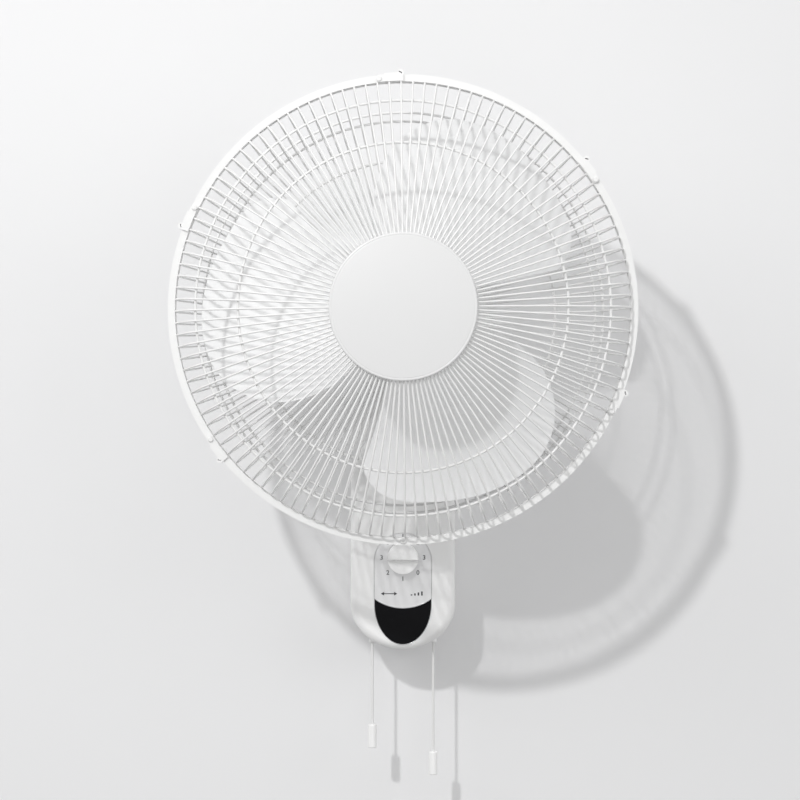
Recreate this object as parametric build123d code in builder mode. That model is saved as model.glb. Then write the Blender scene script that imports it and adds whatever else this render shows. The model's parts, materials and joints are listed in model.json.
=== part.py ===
"""Wall mounted fan of the 40 cm blade class, with two pull cords and a rotary speed knob.

The origin is the centre of the wall plate's screw pattern, on the wall.  X points to the
viewer's right, Y into the wall and Z up, so the fan blows towards -Y.  A depth is a distance
out from the wall, a height is a Z value, and a section point is (depth, radius from the
fan's axis) or (depth, height).  Sizes are in millimetres.
"""
import os
from math import atan2, cos, degrees, hypot, pi, radians, sin

from build123d import *

os.makedirs("parts", exist_ok=True)

# Clearances
running_fit = 0.05  # radial, a pin or shaft that turns in its bore
seat_fit = 0.02  # radial, a piece fixed in its bore
side_gap = 0.3  # beside a piece that moves past, and between welded wires
screw_fit = 0.1  # radial, a screw in its hole

# Body
body_width = 109.0
body_depth = 88.0
body_split = 40.0
body_wall = 2.2
front_wall = 3.2
arch_height = 35.0
taper_height = -95.0
bottom_drop = 47.0
front_round = 8.0
back_round = 3.0
post_inset = 10.5  # from the body's side to a post's centre
post_end_gap = 5.0  # from an end of the straight sides to a post's centre
post_radius = 5.0
shell_screw_radius = 2.0
shell_screw_head = 3.5
shell_screw_seat = 28.0
shell_screw_length = 24.0
screw_head_height = 2.4

body_top = arch_height + body_width / 2
body_bottom = taper_height - bottom_drop
front_inner = body_depth - front_wall
post_offset = body_width / 2 - post_inset
post_heights = (arch_height - post_end_gap, taper_height + post_end_gap)

# Wall plate
plate_width = 64.0
plate_top_margin = 29.5  # below the body's top
plate_bottom_margin = 12.0  # above the body's bottom
plate_thick = 2.0
plate_corner = 6.0
wall_hole_radius = 2.75
wall_hole_spacing_x = 44.0
wall_hole_spacing_z = 90.0
wall_screw_window = 5.5
hook_width = 9.0
hook_offset = 18.0
hook_height = 30.0
hook_reach = 6.0
lug_width = 16.0
lug_depth = 13.0
lock_depth = 8.0
lock_boss_length = 14.0
lock_access_radius = 5.0
lock_shank_length = 12.0

plate_top = body_top - plate_top_margin
plate_bottom = body_bottom + plate_bottom_margin
back_inner = plate_thick + body_wall

# Cable entry
entry_height = -88.0
entry_bore = 5.0
entry_lip = 2.5
entry_flange = 1.2
entry_plate_gap = 2.4

# Speed knob and its switch
knob_height = -46.0
knob_radius = 16.2
knob_length = 12.5
knob_gap = 0.4
knob_scoop = 7.0
knob_edge_round = 1.2
spindle_radius = 3.0
switch_width = 36.0
switch_height = 36.0
switch_depth = 30.8
switch_neck_radius = 5.0
switch_corner = 3.2

# Fascia and display window
fascia_radius = 30.2
fascia_centre_drop = 4.3  # arch's centre below the knob's
fascia_sag = 9.7
window_start_rise = 0.8  # start of its half ellipse above the body's own
window_step = 5.8  # straight side of the window
window_margin = 5.1  # between the window's and the body's bottoms
trim_gap = 0.4
trim_depth = 1.6
fascia_proud = 0.2
window_proud = 0.9

fascia_height = knob_height - fascia_centre_drop
window_start = taper_height + window_start_rise
window_drop = window_start - body_bottom - window_margin
fascia_side_end = window_start + window_step

# Pull cords
cord_side_inset = 22.5  # cords inside the body's sides
cord_inset = 18.8  # behind the front wall
cord_radius = 1.3
cord_seat = 12.0  # cord's top below its switch's top
pull_travel = 14.0
pull_box_width = 14.0
pull_box_depth = 20.0
pull_box_length = 40.0
pull_box_rise = 2.0  # above the knob's axis
pull_bore_radius = 1.9
bell_radius = 4.4
bell_length = 24.5
bell_edge_round = 1.2
bell_mouth_radius = 2.4
bell_mouth_depth = 3.0
swing_bell_top = -223.0
speed_bell_top = -251.5
eyelet_radius = 3.4
eyelet_lip = 1.3
eyelet_length = 10.0
eyelet_rise = 2.17  # eyelet's middle above the body's curved bottom

cord_offset = body_width / 2 - cord_side_inset
cord_depth = front_inner - cord_inset
pull_box_top = knob_height + pull_box_rise
pull_box_bottom = pull_box_top - pull_box_length
cord_top = pull_box_top - cord_seat
cord_spread = cord_offset / (body_width / 2)
eyelet_height = taper_height - bottom_drop * (1 - cord_spread**2) ** 0.5 + eyelet_rise

# Terminal block and capacitor
terminal_size = (30.0, 16.0, 14.0)
terminal_height = -62.0
terminal_screw_count = 3
capacitor_size = (38.0, 24.0, 15.0)
capacitor_height = -20.0

# Tilt hinge
tilt_rise = 20.5  # tilt axis above the body's top
tilt_inset = 24.0  # tilt axis behind the body's front
ear_radius = 12.0
ear_gap = 11.5
ear_thick = 2.5
foot_drop = 29.5  # bracket's foot below the body's top
hinge_pin_radius = 4.0
hinge_head_radius = 6.5
hinge_head_height = 4.0
hinge_pin_tail = 1.0
shelf_drop = 10.0
bracket_screw_radius = 2.0
bracket_screw_length = 8.0

tilt_height = body_top + tilt_rise
tilt_depth = body_depth - tilt_inset
ear_foot = body_top - foot_drop

# Swing drive, from the head's axis down: arm, crank, link, neck flange
head_height = 205.0
swing_step = 12.0  # swing axis in front of the tilt axis
arm_drop = 25.0  # arm's underside below the head's axis
arm_thick = 4.0
arm_half_width = 15.5
arm_gap = 1.2
crank_offset = 25.0
crank_radius = 12.5
crank_pin_radius = 1.5
crank_spindle_radius = 2.5
crank_thick = 3.0
crank_gap = 0.8
crank_margin = 1.0
link_half_width = 3.2
link_thick = 3.0
link_gap = 1.3
spindle_reach = 8.0
spindle_end_gap = 1.0
swing_motor_radius = 14.5
swing_motor_height = 14.0
swing_motor_round = 1.5
pivot_boss_radius = 8.2
pivot_boss_length = 23.0
bush_wall = 2.0

swing_depth = tilt_depth + swing_step
crank_depth = swing_depth - crank_offset
arm_bottom = head_height - arm_drop
arm_top = arm_bottom + arm_thick
crank_bottom = arm_bottom - arm_gap - crank_thick
link_bottom = crank_bottom - crank_gap - link_thick
flange_top = link_bottom - link_gap
pivot_boss_top = arm_bottom + pivot_boss_length

# Motor, from its rotor outwards and from the swing axis forwards
shaft_radius = 4.0
shaft_tail = 6.0  # behind the rear end shield
rotor_radius = 24.0
rotor_edge = 0.6
air_gap = 0.5
tooth_tip = 3.0
slot_count = 16
slot_width = 4.0
slot_depth = 10.0
yoke = 7.0
stator_length = 28.0
winding_overhang = 9.0
shield_gap = 16.0  # rear end shield in front of the swing axis
shield_thick = 3.5
shield_rim_gap = 1.5
rear_shield_depth = 18.0
front_shield_depth = 15.5
bearing_radius = 8.0
bearing_length = 10.0
bearing_boss = 12.5
boss_length = 4.5
screw_edge = 3.0  # long screws inside the stator's edge
motor_screw_radius = 1.5
motor_screw_head = 2.8
motor_screw_head_height = 2.0
cover_screw_circle = 34.0
shield_bolt_angles = (45, 135, 225, 315)
cover_wall = 2.0
cover_room = 4.0  # round the stator
cover_front_room = 7.5
cover_rear_room = 12.5
cover_rim = 9.0  # split between the covers, in front of the rear end shield
cover_lip = 5.0
dome_radius = 62.0
dome_corner = 26.0
collar_radius = 27.0
collar_bore = 22.0
collar_length = 20.0
vent_count = 14
vent_inner = 20.0
vent_outer = 36.0
vent_width = 2.6
vent_depth = 30.0

slot_inner = rotor_radius + tooth_tip
slot_outer = slot_inner + slot_depth
stator_radius = slot_outer + yoke
motor_screw_circle = stator_radius - screw_edge
shield_rim = slot_outer + shield_rim_gap
cover_radius = stator_radius + cover_room + 2 * cover_wall
shield_back = swing_depth + shield_gap
shaft_back = shield_back - shaft_tail
stator_back = shield_back + rear_shield_depth
stator_front = stator_back + stator_length
shield_front = stator_front + front_shield_depth
cover_front = shield_front + cover_front_room
cover_split = shield_back + cover_rim
cover_nose = crank_depth - swing_motor_radius - cover_rear_room
collar_front = cover_front + collar_length

# Neck and swing pivot
column_radius = 11.5
column_gap = 2.0
flange_radius = 15.2
flange_thick = 2.7
hub_radius = 6.0
pivot_radius = 4.0
pivot_head_radius = 7.0
pivot_head_height = 2.4
pivot_seat_depth = 20.0
tongue_margin = 1.0  # between the tongue's round end and the bracket's
web_foot = 9.6  # half length of the web at the tongue
web_lean = 4.8  # rise of its foot from front to back
web_shoulder_share = 0.37  # of the way from the tilt axis to the cover's top
web_top_share = 0.49
neck_cover_drop = 9.0  # below the tilt axis
neck_cover_skirt = 13.0
neck_cover_gap = 4.0  # below the motor's cover
neck_cover_width = 52.0
neck_cover_depth = 46.0
neck_cover_step = 4.0  # its middle in front of the tilt axis
neck_cover_wall = 2.0
neck_corner = 12.0

neck_cover_bottom = tilt_height - neck_cover_drop
neck_cover_waist = neck_cover_bottom + neck_cover_skirt
neck_cover_top = head_height - cover_radius - neck_cover_gap
neck_cover_centre = tilt_depth + neck_cover_step
web_shoulder = tilt_height + web_shoulder_share * (neck_cover_top - tilt_height)
web_top = tilt_height + web_top_share * (neck_cover_top - tilt_height)

# Blade
blade_count = 3
blade_start = 15.5
blade_tip_radius = 196.5
blade_setback = 3.0  # leading edge in front of the hub's back
blade_rise = 36.0
blade_camber = 4.0
blade_thick = 2.2
blade_sweep = 93.0
sheet_margin = 8.0
sheet_steps = 7
hub_gap = 22.0  # behind the hub, to the motor's collar
hub_outer = 34.0
hub_length = 40.0
hub_wall = 2.5
boss_radius = 9.0
nut_radius = 14.0
nut_length = 19.0
nut_end_gap = 1.0
nut_grip_radius = 1.2
nut_grip_count = 10
shaft_thread = 9.0  # in front of the hub
shaft_end_chamfer = 0.5
drive_pin_radius = 1.5
drive_pin_length = 15.0
drive_pin_setback = 4.0  # in front of the hub's back

hub_back = collar_front + hub_gap
hub_front = hub_back + hub_length
blade_lead_depth = hub_back + blade_setback
shaft_front = hub_front + shaft_thread
drive_depth = hub_back + drive_pin_setback

# Guard rim: clamp band and rim wires
rim_margin = 28.5  # round the blade tips
rim_advance = 59.0  # middle of the band in front of the hub's back
rim_width = 14.0
rim_wall = 2.4
rim_flange = 1.4
rim_block_half = 5.5
rim_wire_radius = 2.0
rim_screw_radius = 1.2
rim_screw_head = 3.1
rim_screw_head_height = 2.0
wire_end_gap = 1.0

rim_radius = blade_tip_radius + rim_margin
rim_depth = hub_back + rim_advance
rim_back = rim_depth - rim_width / 2
rim_front = rim_depth + rim_width / 2

# Front cap
cap_radius = 69.1
cap_step = 1.6  # height of its edge
cap_rise = 3.9  # height of its dome
cap_lip_length = 2.2
cap_lip_wall = 2.0
cap_gap = 0.55  # in front of the wires
cap_plate_margin = 14.1
cap_plate_gap = 0.65  # behind the wires
cap_plate_thick = 1.5
cap_post_inset = 15.0
cap_post_radius = 3.5
cap_post_count = 3

cap_plate_radius = cap_radius - cap_plate_margin
cap_post_circle = cap_plate_radius - cap_post_inset

# Guards: radii from the rim inwards, depths from the middle of the band
spoke_count = 120
spoke_phase = 2.5
spoke_radius = 0.95
spoke_end_gap = 0.6
brace_radius = 1.25
front_reach = 68.5
front_seat_overlap = 3.0  # of the wires on the cap's back plate
front_bend_advance = 56.0
front_bend_inset = 80.0
front_corner_advance = 34.0
front_corner_inset = 20.0
front_shoulder_advance = 14.0
front_joint_inset = 33.0
front_brace_insets = (69.5, 28.2)
front_dish_round = 150.0
front_corner_round = 14.0
shoulder_round = 20.0
rear_seat_overlap = 14.0  # of the wires on the guard plate
rear_corner_setback = 80.0
rear_corner_inset = 33.5
rear_shoulder_setback = 10.0
rear_joint_inset = 47.0
rear_brace_inset = 73.0
rear_side_brace_inset = 28.8
rear_corner_round = 14.0
guard_plate_radius = 64.0
guard_plate_thick = 1.6
guard_nut_rim = 10.0
guard_nut_length = 9.0
guard_nut_grip_count = 12
guard_nut_grip_radius = 3.1

plate_back = cover_front + side_gap / 3
plate_front = plate_back + guard_plate_thick
guard_nut_radius = collar_radius + guard_nut_rim
front_corner = (rim_depth + front_corner_advance, rim_radius - front_corner_inset)
front_bend = (rim_depth + front_bend_advance, rim_radius - front_bend_inset)
front_spoke_start = (rim_depth + front_reach, cap_plate_radius - front_seat_overlap)
front_shoulder = rim_depth + front_shoulder_advance
rear_spoke_start = (plate_front + side_gap + spoke_radius, guard_plate_radius - rear_seat_overlap)
rear_corner = (rim_depth - rear_corner_setback, rim_radius - rear_corner_inset)
rear_shoulder = rim_depth - rear_shoulder_setback
cap_back = front_spoke_start[0] + spoke_radius + cap_gap
cap_edge = cap_back + cap_step
cap_crown = cap_edge + cap_rise
cap_lip = cap_back - cap_lip_length
cap_plate_front = front_spoke_start[0] - spoke_radius - cap_plate_gap

# Rim clips
clip_angles = (34.0, 154.0, 214.0, 334.0)
top_clip_angle = 96.0
clip_span = 6.1
clip_thick = 1.8
clip_wall = 1.3
clip_pivot_inset = 3.2
clip_pin_radius = 1.1
clip_head_radius = 2.6
clip_head_height = 1.2
clip_hook_radius = 3.0

clip_pivot_radius = rim_radius - clip_pivot_inset


# Planes and axes
def wall_plane(depth):
    """Plane parallel to the wall: local x is X, local y is Z, normal towards the viewer."""
    return Plane(origin=(0, -depth, 0), x_dir=(1, 0, 0), z_dir=(0, -1, 0))


def head_plane(depth, angle=0.0):
    """Plane across the fan's axis, turned so that its local x points out at an angle."""
    out = (cos(radians(angle)), 0, sin(radians(angle)))
    return Plane(origin=(0, -depth, head_height), x_dir=out, z_dir=(0, -1, 0))


def seat_on_head(depth, place):
    """Upright plane across the fan's axis, with its origin at a place measured from the axis."""
    across, up = place
    return Plane(origin=(across, -depth, head_height + up), x_dir=(1, 0, 0), z_dir=(0, -1, 0))


def level(height, depth):
    """Horizontal plane with its origin at a depth in front of the wall."""
    return Plane(origin=(0, -depth, height), x_dir=(1, 0, 0), z_dir=(0, 0, 1))


def under(height, depth):
    """Horizontal plane that faces down."""
    return Plane(origin=(0, -depth, height), x_dir=(1, 0, 0), z_dir=(0, 0, -1))


head_section = Plane(origin=(0, 0, head_height), x_dir=(0, -1, 0), z_dir=(-1, 0, 0))
side_section = Plane(origin=(0, 0, 0), x_dir=(0, -1, 0), z_dir=(-1, 0, 0))
head_axis = Axis((0, 0, head_height), (0, -1, 0))


# Shapes used more than once
def profile(points, plane=head_section):
    """Closed straight-sided face on a plane."""
    with BuildSketch(plane) as face:
        with BuildLine():
            Polyline(*points, close=True)
        make_face()
    return face.sketch


def ring_profile(depth, radius, wire):
    """Round wire section at a depth and radius from the fan's axis."""
    with BuildSketch(head_section) as face:
        with Locations((depth, radius)):
            Circle(wire)
    return face.sketch


def body_outline(plane, inset=0.0):
    """Body seen from the front: round top, straight sides, elliptical bottom."""
    half = body_width / 2 - inset
    with BuildSketch(plane) as outline:
        with BuildLine():
            CenterArc((0, arch_height), half, 0, 180)
            Line((-half, arch_height), (-half, taper_height))
            EllipticalCenterArc((0, taper_height), half, bottom_drop - inset, 180, arc_size=180)
            Line((half, taper_height), (half, arch_height))
        make_face()
    return outline.sketch


def trim_outline(plane, inset, arch, ellipse):
    """Fascia's arch, window's half ellipse, or both, with the sagging line between them."""
    half = fascia_radius - inset
    sag = fascia_side_end - fascia_sag
    with BuildSketch(plane) as outline:
        if arch:
            with BuildLine():
                CenterArc((0, fascia_height), half, 0, 180)
                Line((-half, fascia_height), (-half, fascia_side_end))
                ThreePointArc((-half, fascia_side_end), (0, sag), (half, fascia_side_end))
                Line((half, fascia_side_end), (half, fascia_height))
            make_face()
        if ellipse:
            with BuildLine():
                ThreePointArc(
                    (-half, fascia_side_end - inset), (0, sag - inset), (half, fascia_side_end - inset)
                )
                Line((half, fascia_side_end - inset), (half, window_start))
                EllipticalCenterArc((0, window_start), half, window_drop - inset, 180, arc_size=180)
                Line((-half, window_start), (-half, fascia_side_end - inset))
            make_face()
    return outline.sketch


def disc(plane, radius, thickness, bore=0.0):
    """Round plate or tube standing on a plane."""
    with BuildPart() as plate:
        with BuildSketch(plane):
            Circle(radius)
            if bore:
                Circle(bore, mode=Mode.SUBTRACT)
        extrude(amount=thickness)
    return plate.part


def pan_screw(seat, radius, length, head_radius, head_height):
    """Cross-slotted pan head screw: head in front of its seat plane, shank behind it."""
    with BuildPart() as screw:
        with BuildSketch(seat):
            Circle(head_radius)
        extrude(amount=head_height)
        fillet(screw.edges().sort_by(Axis(seat.origin, seat.z_dir))[-1], head_height * 0.45)
        with BuildSketch(seat):
            Circle(radius)
        extrude(amount=-length)
        with BuildSketch(seat.offset(head_height)):
            Rectangle(head_radius * 1.2, head_radius * 0.25)
            Rectangle(head_radius * 0.25, head_radius * 1.2)
        extrude(amount=-head_height * 0.45, mode=Mode.SUBTRACT)
    return screw.part


def wire(points, radii, plane=head_section):
    """Round wire along straight runs joined by tangent bends."""
    with BuildLine(plane) as route:
        if radii:
            FilletPolyline(*points, radius=radii)
        else:
            Line(*points)
    with BuildPart() as rod:
        with BuildSketch(Plane(origin=route.line @ 0, z_dir=route.line % 0)):
            Circle(spoke_radius)
        sweep(path=route.line)
    return rod.part


def around_axis(part, count, phase):
    """Copies of a piece spread evenly round the fan's axis."""
    return [part.rotate(head_axis, -(phase + step * 360 / count)) for step in range(count)]


def ring_beside(run, radius, side):
    """Centre of a brace wire laid against a straight spoke run, at a radius on that run."""
    (depth_0, radius_0), (depth_1, radius_1) = run
    share = (radius - radius_0) / (radius_1 - radius_0)
    length = hypot(depth_1 - depth_0, radius_1 - radius_0)
    gap = side * (spoke_radius + side_gap + brace_radius) / length
    depth = depth_0 + share * (depth_1 - depth_0)
    return depth - gap * (radius_1 - radius_0), radius + gap * (depth_1 - depth_0)


def ring_round_bend(before, corner, after, bend):
    """Centre of a brace wire laid against the outside of a spoke's bend."""
    way_in = Vector(*before) - Vector(*corner)
    way_out = Vector(*after) - Vector(*corner)
    inward = (way_in.normalized() + way_out.normalized()).normalized()
    half_angle = radians(way_in.get_angle(way_out) / 2)
    centre = Vector(*corner) + inward * (bend / sin(half_angle))
    ring = centre - inward * (bend + spoke_radius + side_gap + brace_radius)
    return ring.X, ring.Y


def finish(piece, name):
    """Label a piece and write it."""
    piece.part.label = name
    export_step(piece.part, f"parts/{name}.step")


# ------------------------------------------------------------------ wall plate
hook_root = hook_height + plate_thick
hook_leg = back_inner + side_gap
entry_opening = entry_bore + entry_lip + entry_flange + entry_plate_gap

with BuildPart() as wall_plate:
    with BuildSketch(wall_plane(0)):
        with Locations((0, (plate_top + plate_bottom) / 2)):
            RectangleRounded(plate_width, plate_top - plate_bottom, plate_corner)
        with GridLocations(wall_hole_spacing_x, wall_hole_spacing_z, 2, 2):
            Circle(wall_hole_radius, mode=Mode.SUBTRACT)
        with Locations((0, entry_height)):
            Circle(entry_opening, mode=Mode.SUBTRACT)
    extrude(amount=plate_thick)
    with BuildSketch(wall_plane(plate_thick)):
        for side in (-1, 1):
            with Locations((side * hook_offset, hook_height + plate_thick / 2)):
                Rectangle(hook_width, plate_thick)
    extrude(amount=hook_leg)
    with BuildSketch(wall_plane(hook_leg)):
        for side in (-1, 1):
            with Locations((side * hook_offset, hook_height + (plate_thick + hook_reach) / 2)):
                Rectangle(hook_width, plate_thick + hook_reach)
    extrude(amount=plate_thick)
    with BuildSketch(level(plate_bottom, 0)):
        with Locations((0, -(lug_depth + plate_thick) / 2)):
            Rectangle(lug_width, lug_depth - plate_thick)
        with Locations((0, -lock_depth)):
            Circle(shell_screw_radius + screw_fit, mode=Mode.SUBTRACT)
    extrude(amount=plate_thick)
finish(wall_plate, "wall_plate")

# ----------------------------------------------------------------- body shells
post_places = [(side * post_offset, height) for side in (-1, 1) for height in post_heights]
boss_foot = plate_bottom + plate_thick

with BuildPart() as back_housing:
    extrude(body_outline(wall_plane(plate_thick)), amount=body_split - plate_thick)
    fillet(back_housing.faces().sort_by(Axis.Y)[-1].edges(), back_round)
    extrude(
        body_outline(wall_plane(back_inner), body_wall), amount=body_split - back_inner, mode=Mode.SUBTRACT
    )
    with BuildSketch(wall_plane(plate_thick)):
        with Locations(*post_places):
            Circle(post_radius)
    extrude(amount=body_split - plate_thick)
    with BuildSketch(wall_plane(plate_thick)):
        with Locations(*post_places):
            Circle(shell_screw_radius + screw_fit)
    extrude(amount=body_split - plate_thick, mode=Mode.SUBTRACT)
    with BuildSketch(wall_plane(plate_thick)):
        with Locations(*post_places):
            Circle(shell_screw_head + screw_fit)
    extrude(amount=shell_screw_seat - plate_thick, mode=Mode.SUBTRACT)
    with BuildSketch(wall_plane(plate_thick)):
        for side in (-1, 1):
            with Locations((side * hook_offset, hook_root - (hook_reach + plate_thick) / 2)):
                Rectangle(hook_width + 2 * side_gap, hook_reach + plate_thick)
        with Locations((0, boss_foot - hook_reach)):
            Rectangle(lug_width + 2 * side_gap, 2 * hook_reach)
        with GridLocations(wall_hole_spacing_x, wall_hole_spacing_z, 2, 2):
            Circle(wall_screw_window)
        with Locations((0, entry_height)):
            Circle(entry_bore + entry_lip)
    extrude(amount=body_wall, mode=Mode.SUBTRACT)
    with BuildSketch(level(boss_foot, lock_depth)):
        Circle(lock_depth - plate_thick - side_gap)
        Circle(shell_screw_radius + screw_fit, mode=Mode.SUBTRACT)
    extrude(amount=lock_boss_length)
    with BuildSketch(under(plate_bottom, lock_depth)):
        Circle(lock_access_radius)
    extrude(amount=bottom_drop, mode=Mode.SUBTRACT)
finish(back_housing, "back_housing")

ear_outer = ear_gap + ear_thick
shelf_top = ear_foot - ear_thick
eyelet_places = ((-cord_offset, 0), (cord_offset, 0))
trim_seat = body_depth - trim_depth

with BuildPart() as front_housing:
    extrude(body_outline(wall_plane(body_split)), amount=body_depth - body_split)
    fillet(front_housing.faces().sort_by(Axis.Y)[0].edges(), front_round)
    extrude(
        body_outline(wall_plane(body_split), body_wall), amount=front_inner - body_split, mode=Mode.SUBTRACT
    )
    with BuildSketch(wall_plane(body_split)):
        with Locations(*post_places):
            Circle(post_radius)
            Circle(shell_screw_radius + screw_fit, mode=Mode.SUBTRACT)
    extrude(amount=front_inner - body_split)
    with BuildSketch(wall_plane(tilt_depth - ear_radius)):
        with Locations((0, shelf_top - shelf_drop / 2)):
            Rectangle(2 * ear_outer, shelf_drop)
    extrude(amount=front_inner - tilt_depth + ear_radius)
    with BuildSketch(level(shelf_top, tilt_depth)):
        with Locations((0, -ear_radius / 2), (0, ear_radius / 2)):
            Circle(bracket_screw_radius + screw_fit)
    extrude(amount=-bracket_screw_length, mode=Mode.SUBTRACT)
    with BuildSketch(level(ear_foot, tilt_depth)):
        with Locations((-(ear_gap + ear_outer) / 2, 0), ((ear_gap + ear_outer) / 2, 0)):
            Rectangle(ear_thick + 2 * side_gap, 2 * (ear_radius + side_gap))
    extrude(amount=body_width, mode=Mode.SUBTRACT)
    for part_of_trim in ((True, False), (False, True)):
        extrude(
            trim_outline(wall_plane(trim_seat), 0, *part_of_trim),
            amount=trim_depth,
            mode=Mode.SUBTRACT,
        )
    with BuildSketch(wall_plane(front_inner)):
        with Locations((0, knob_height)):
            Circle(switch_neck_radius + screw_fit)
    extrude(amount=front_wall, mode=Mode.SUBTRACT)
    with BuildSketch(under(taper_height, cord_depth)):
        with Locations(*eyelet_places):
            Circle(eyelet_radius + seat_fit)
    extrude(amount=bottom_drop, mode=Mode.SUBTRACT)
finish(front_housing, "front_housing")

shell_screws = [
    pan_screw(
        Plane(origin=(x, -shell_screw_seat, z), x_dir=(1, 0, 0), z_dir=(0, 1, 0)),
        shell_screw_radius,
        shell_screw_length,
        shell_screw_head,
        screw_head_height,
    )
    for x, z in post_places
]
bracket_screws = [
    pan_screw(
        level(ear_foot, tilt_depth + offset),
        bracket_screw_radius,
        bracket_screw_length,
        shell_screw_head,
        screw_head_height,
    )
    for offset in (-ear_radius / 2, ear_radius / 2)
]
with BuildPart() as body_screws:
    add(shell_screws)
    add(bracket_screws)
finish(body_screws, "body_screws")

with BuildPart() as lock_screw:
    add(pan_screw(
        under(plate_bottom, lock_depth),
        shell_screw_radius,
        lock_shank_length,
        shell_screw_head,
        screw_head_height,
    ))
finish(lock_screw, "lock_screw")

with BuildPart() as cable_grommet:
    with BuildSketch(wall_plane(plate_thick)):
        with Locations((0, entry_height)):
            Circle(entry_bore + entry_lip - seat_fit)
    extrude(amount=body_wall)
    with BuildSketch(wall_plane(plate_thick)):
        with Locations((0, entry_height)):
            Circle(entry_bore + entry_lip + entry_flange)
    extrude(amount=-entry_flange)
    with BuildSketch(wall_plane(back_inner)):
        with Locations((0, entry_height)):
            Circle(entry_bore + entry_lip + entry_flange)
    extrude(amount=entry_flange)
    with BuildSketch(wall_plane(0)):
        with Locations((0, entry_height)):
            Circle(entry_bore)
    extrude(amount=body_depth, mode=Mode.SUBTRACT)
finish(cable_grommet, "cable_grommet")

# ---------------------------------------------------------------- fascia, window
with BuildPart() as fascia_panel:
    extrude(trim_outline(wall_plane(trim_seat), trim_gap, True, False), amount=trim_depth + fascia_proud)
    with BuildSketch(wall_plane(trim_seat)):
        with Locations((0, knob_height)):
            Circle(switch_neck_radius + screw_fit)
    extrude(amount=trim_depth + fascia_proud, mode=Mode.SUBTRACT)
finish(fascia_panel, "fascia_panel")

with BuildPart() as display_window:
    extrude(trim_outline(wall_plane(trim_seat), trim_gap, False, True), amount=trim_depth + window_proud)
    chamfer(display_window.faces().sort_by(Axis.Y)[0].edges(), window_proud * 0.7)
finish(display_window, "display_window")

# ---------------------------------------------------------------- knob, switches
knob_back = body_depth + fascia_proud + knob_gap
knob_front = knob_back + knob_length
spindle_back = front_inner - switch_depth / 2
switch_back = front_inner - switch_depth

with BuildPart() as speed_switch:
    with BuildSketch(wall_plane(switch_back)):
        with Locations((0, knob_height)):
            RectangleRounded(switch_width, switch_height, switch_corner)
    extrude(amount=switch_depth)
    with BuildSketch(wall_plane(front_inner)):
        with Locations((0, knob_height)):
            Circle(switch_neck_radius)
    extrude(amount=front_wall + fascia_proud)
    with BuildSketch(wall_plane(spindle_back)):
        with Locations((0, knob_height)):
            Circle(spindle_radius + running_fit)
    extrude(amount=body_depth, mode=Mode.SUBTRACT)
    with BuildSketch(level(pull_box_bottom, cord_depth)):
        with Locations((cord_offset, 0)):
            Rectangle(pull_box_width, pull_box_depth)
    extrude(amount=pull_box_top - pull_box_bottom)
    with BuildSketch(level(knob_height - switch_height / 4, cord_depth)):
        with Locations((cord_offset / 2, 0)):
            Rectangle(cord_offset, pull_box_depth / 2)
    extrude(amount=pull_box_depth / 2)
    with BuildSketch(level(pull_box_bottom, cord_depth)):
        with Locations((cord_offset, 0)):
            Circle(pull_bore_radius)
    extrude(amount=cord_top - pull_box_bottom + pull_travel / 2, mode=Mode.SUBTRACT)
    with BuildSketch(wall_plane(spindle_back)):
        with Locations((0, knob_height)):
            Circle(spindle_radius + running_fit)
    extrude(amount=body_depth, mode=Mode.SUBTRACT)
finish(speed_switch, "speed_switch")

with BuildPart() as swing_switch:
    with BuildSketch(level(pull_box_bottom, cord_depth)):
        with Locations((-cord_offset, 0)):
            Rectangle(pull_box_width, pull_box_depth)
    extrude(amount=pull_box_top - pull_box_bottom)
    with BuildSketch(wall_plane(cord_depth)):
        with Locations((-cord_offset, (pull_box_top + pull_box_bottom) / 2)):
            Rectangle(pull_box_width, pull_box_width)
    extrude(amount=front_inner - cord_depth)
    with BuildSketch(level(pull_box_bottom, cord_depth)):
        with Locations((-cord_offset, 0)):
            Circle(pull_bore_radius)
    extrude(amount=cord_top - pull_box_bottom + pull_travel / 2, mode=Mode.SUBTRACT)
finish(swing_switch, "swing_switch")

with BuildPart() as speed_knob:
    with BuildSketch(wall_plane(knob_back)):
        with Locations((0, knob_height)):
            Circle(knob_radius)
    extrude(amount=knob_length)
    fillet(speed_knob.faces().sort_by(Axis.Y)[0].edges(), knob_edge_round)
    scoop_edge = knob_height - knob_edge_round
    with BuildSketch(side_section.offset(-knob_radius)):
        with BuildLine():
            Line((knob_front, scoop_edge), (knob_front - knob_scoop, scoop_edge - knob_scoop / 4))
            ThreePointArc(
                (knob_front - knob_scoop, scoop_edge - knob_scoop / 4),
                (knob_front - knob_scoop * 0.65, scoop_edge - knob_radius * 0.65),
                (knob_front - knob_edge_round, knob_height - knob_radius * 0.98),
            )
            Polyline(
                (knob_front - knob_edge_round, knob_height - knob_radius * 0.98),
                (knob_front, scoop_edge - knob_radius),
                (knob_front, scoop_edge),
            )
        make_face()
    extrude(amount=2 * knob_radius, mode=Mode.SUBTRACT)
    with BuildSketch(wall_plane(knob_back)):
        with Locations((0, knob_height)):
            Circle(spindle_radius)
    extrude(amount=-(knob_back - spindle_back) + side_gap)
finish(speed_knob, "speed_knob")

with BuildPart() as cord_eyelets:
    with BuildSketch(under(eyelet_height, cord_depth)):
        with Locations(*eyelet_places):
            Circle(eyelet_radius)
    extrude(amount=eyelet_length / 2, both=True)
    with BuildSketch(under(eyelet_height + eyelet_length / 2, cord_depth)):
        with Locations(*eyelet_places):
            Circle(eyelet_radius + eyelet_lip)
    extrude(amount=-eyelet_lip)
    with BuildSketch(under(eyelet_height, cord_depth)):
        with Locations(*eyelet_places):
            Circle(pull_bore_radius)
    extrude(amount=eyelet_length, both=True, mode=Mode.SUBTRACT)
finish(cord_eyelets, "cord_eyelets")


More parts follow.
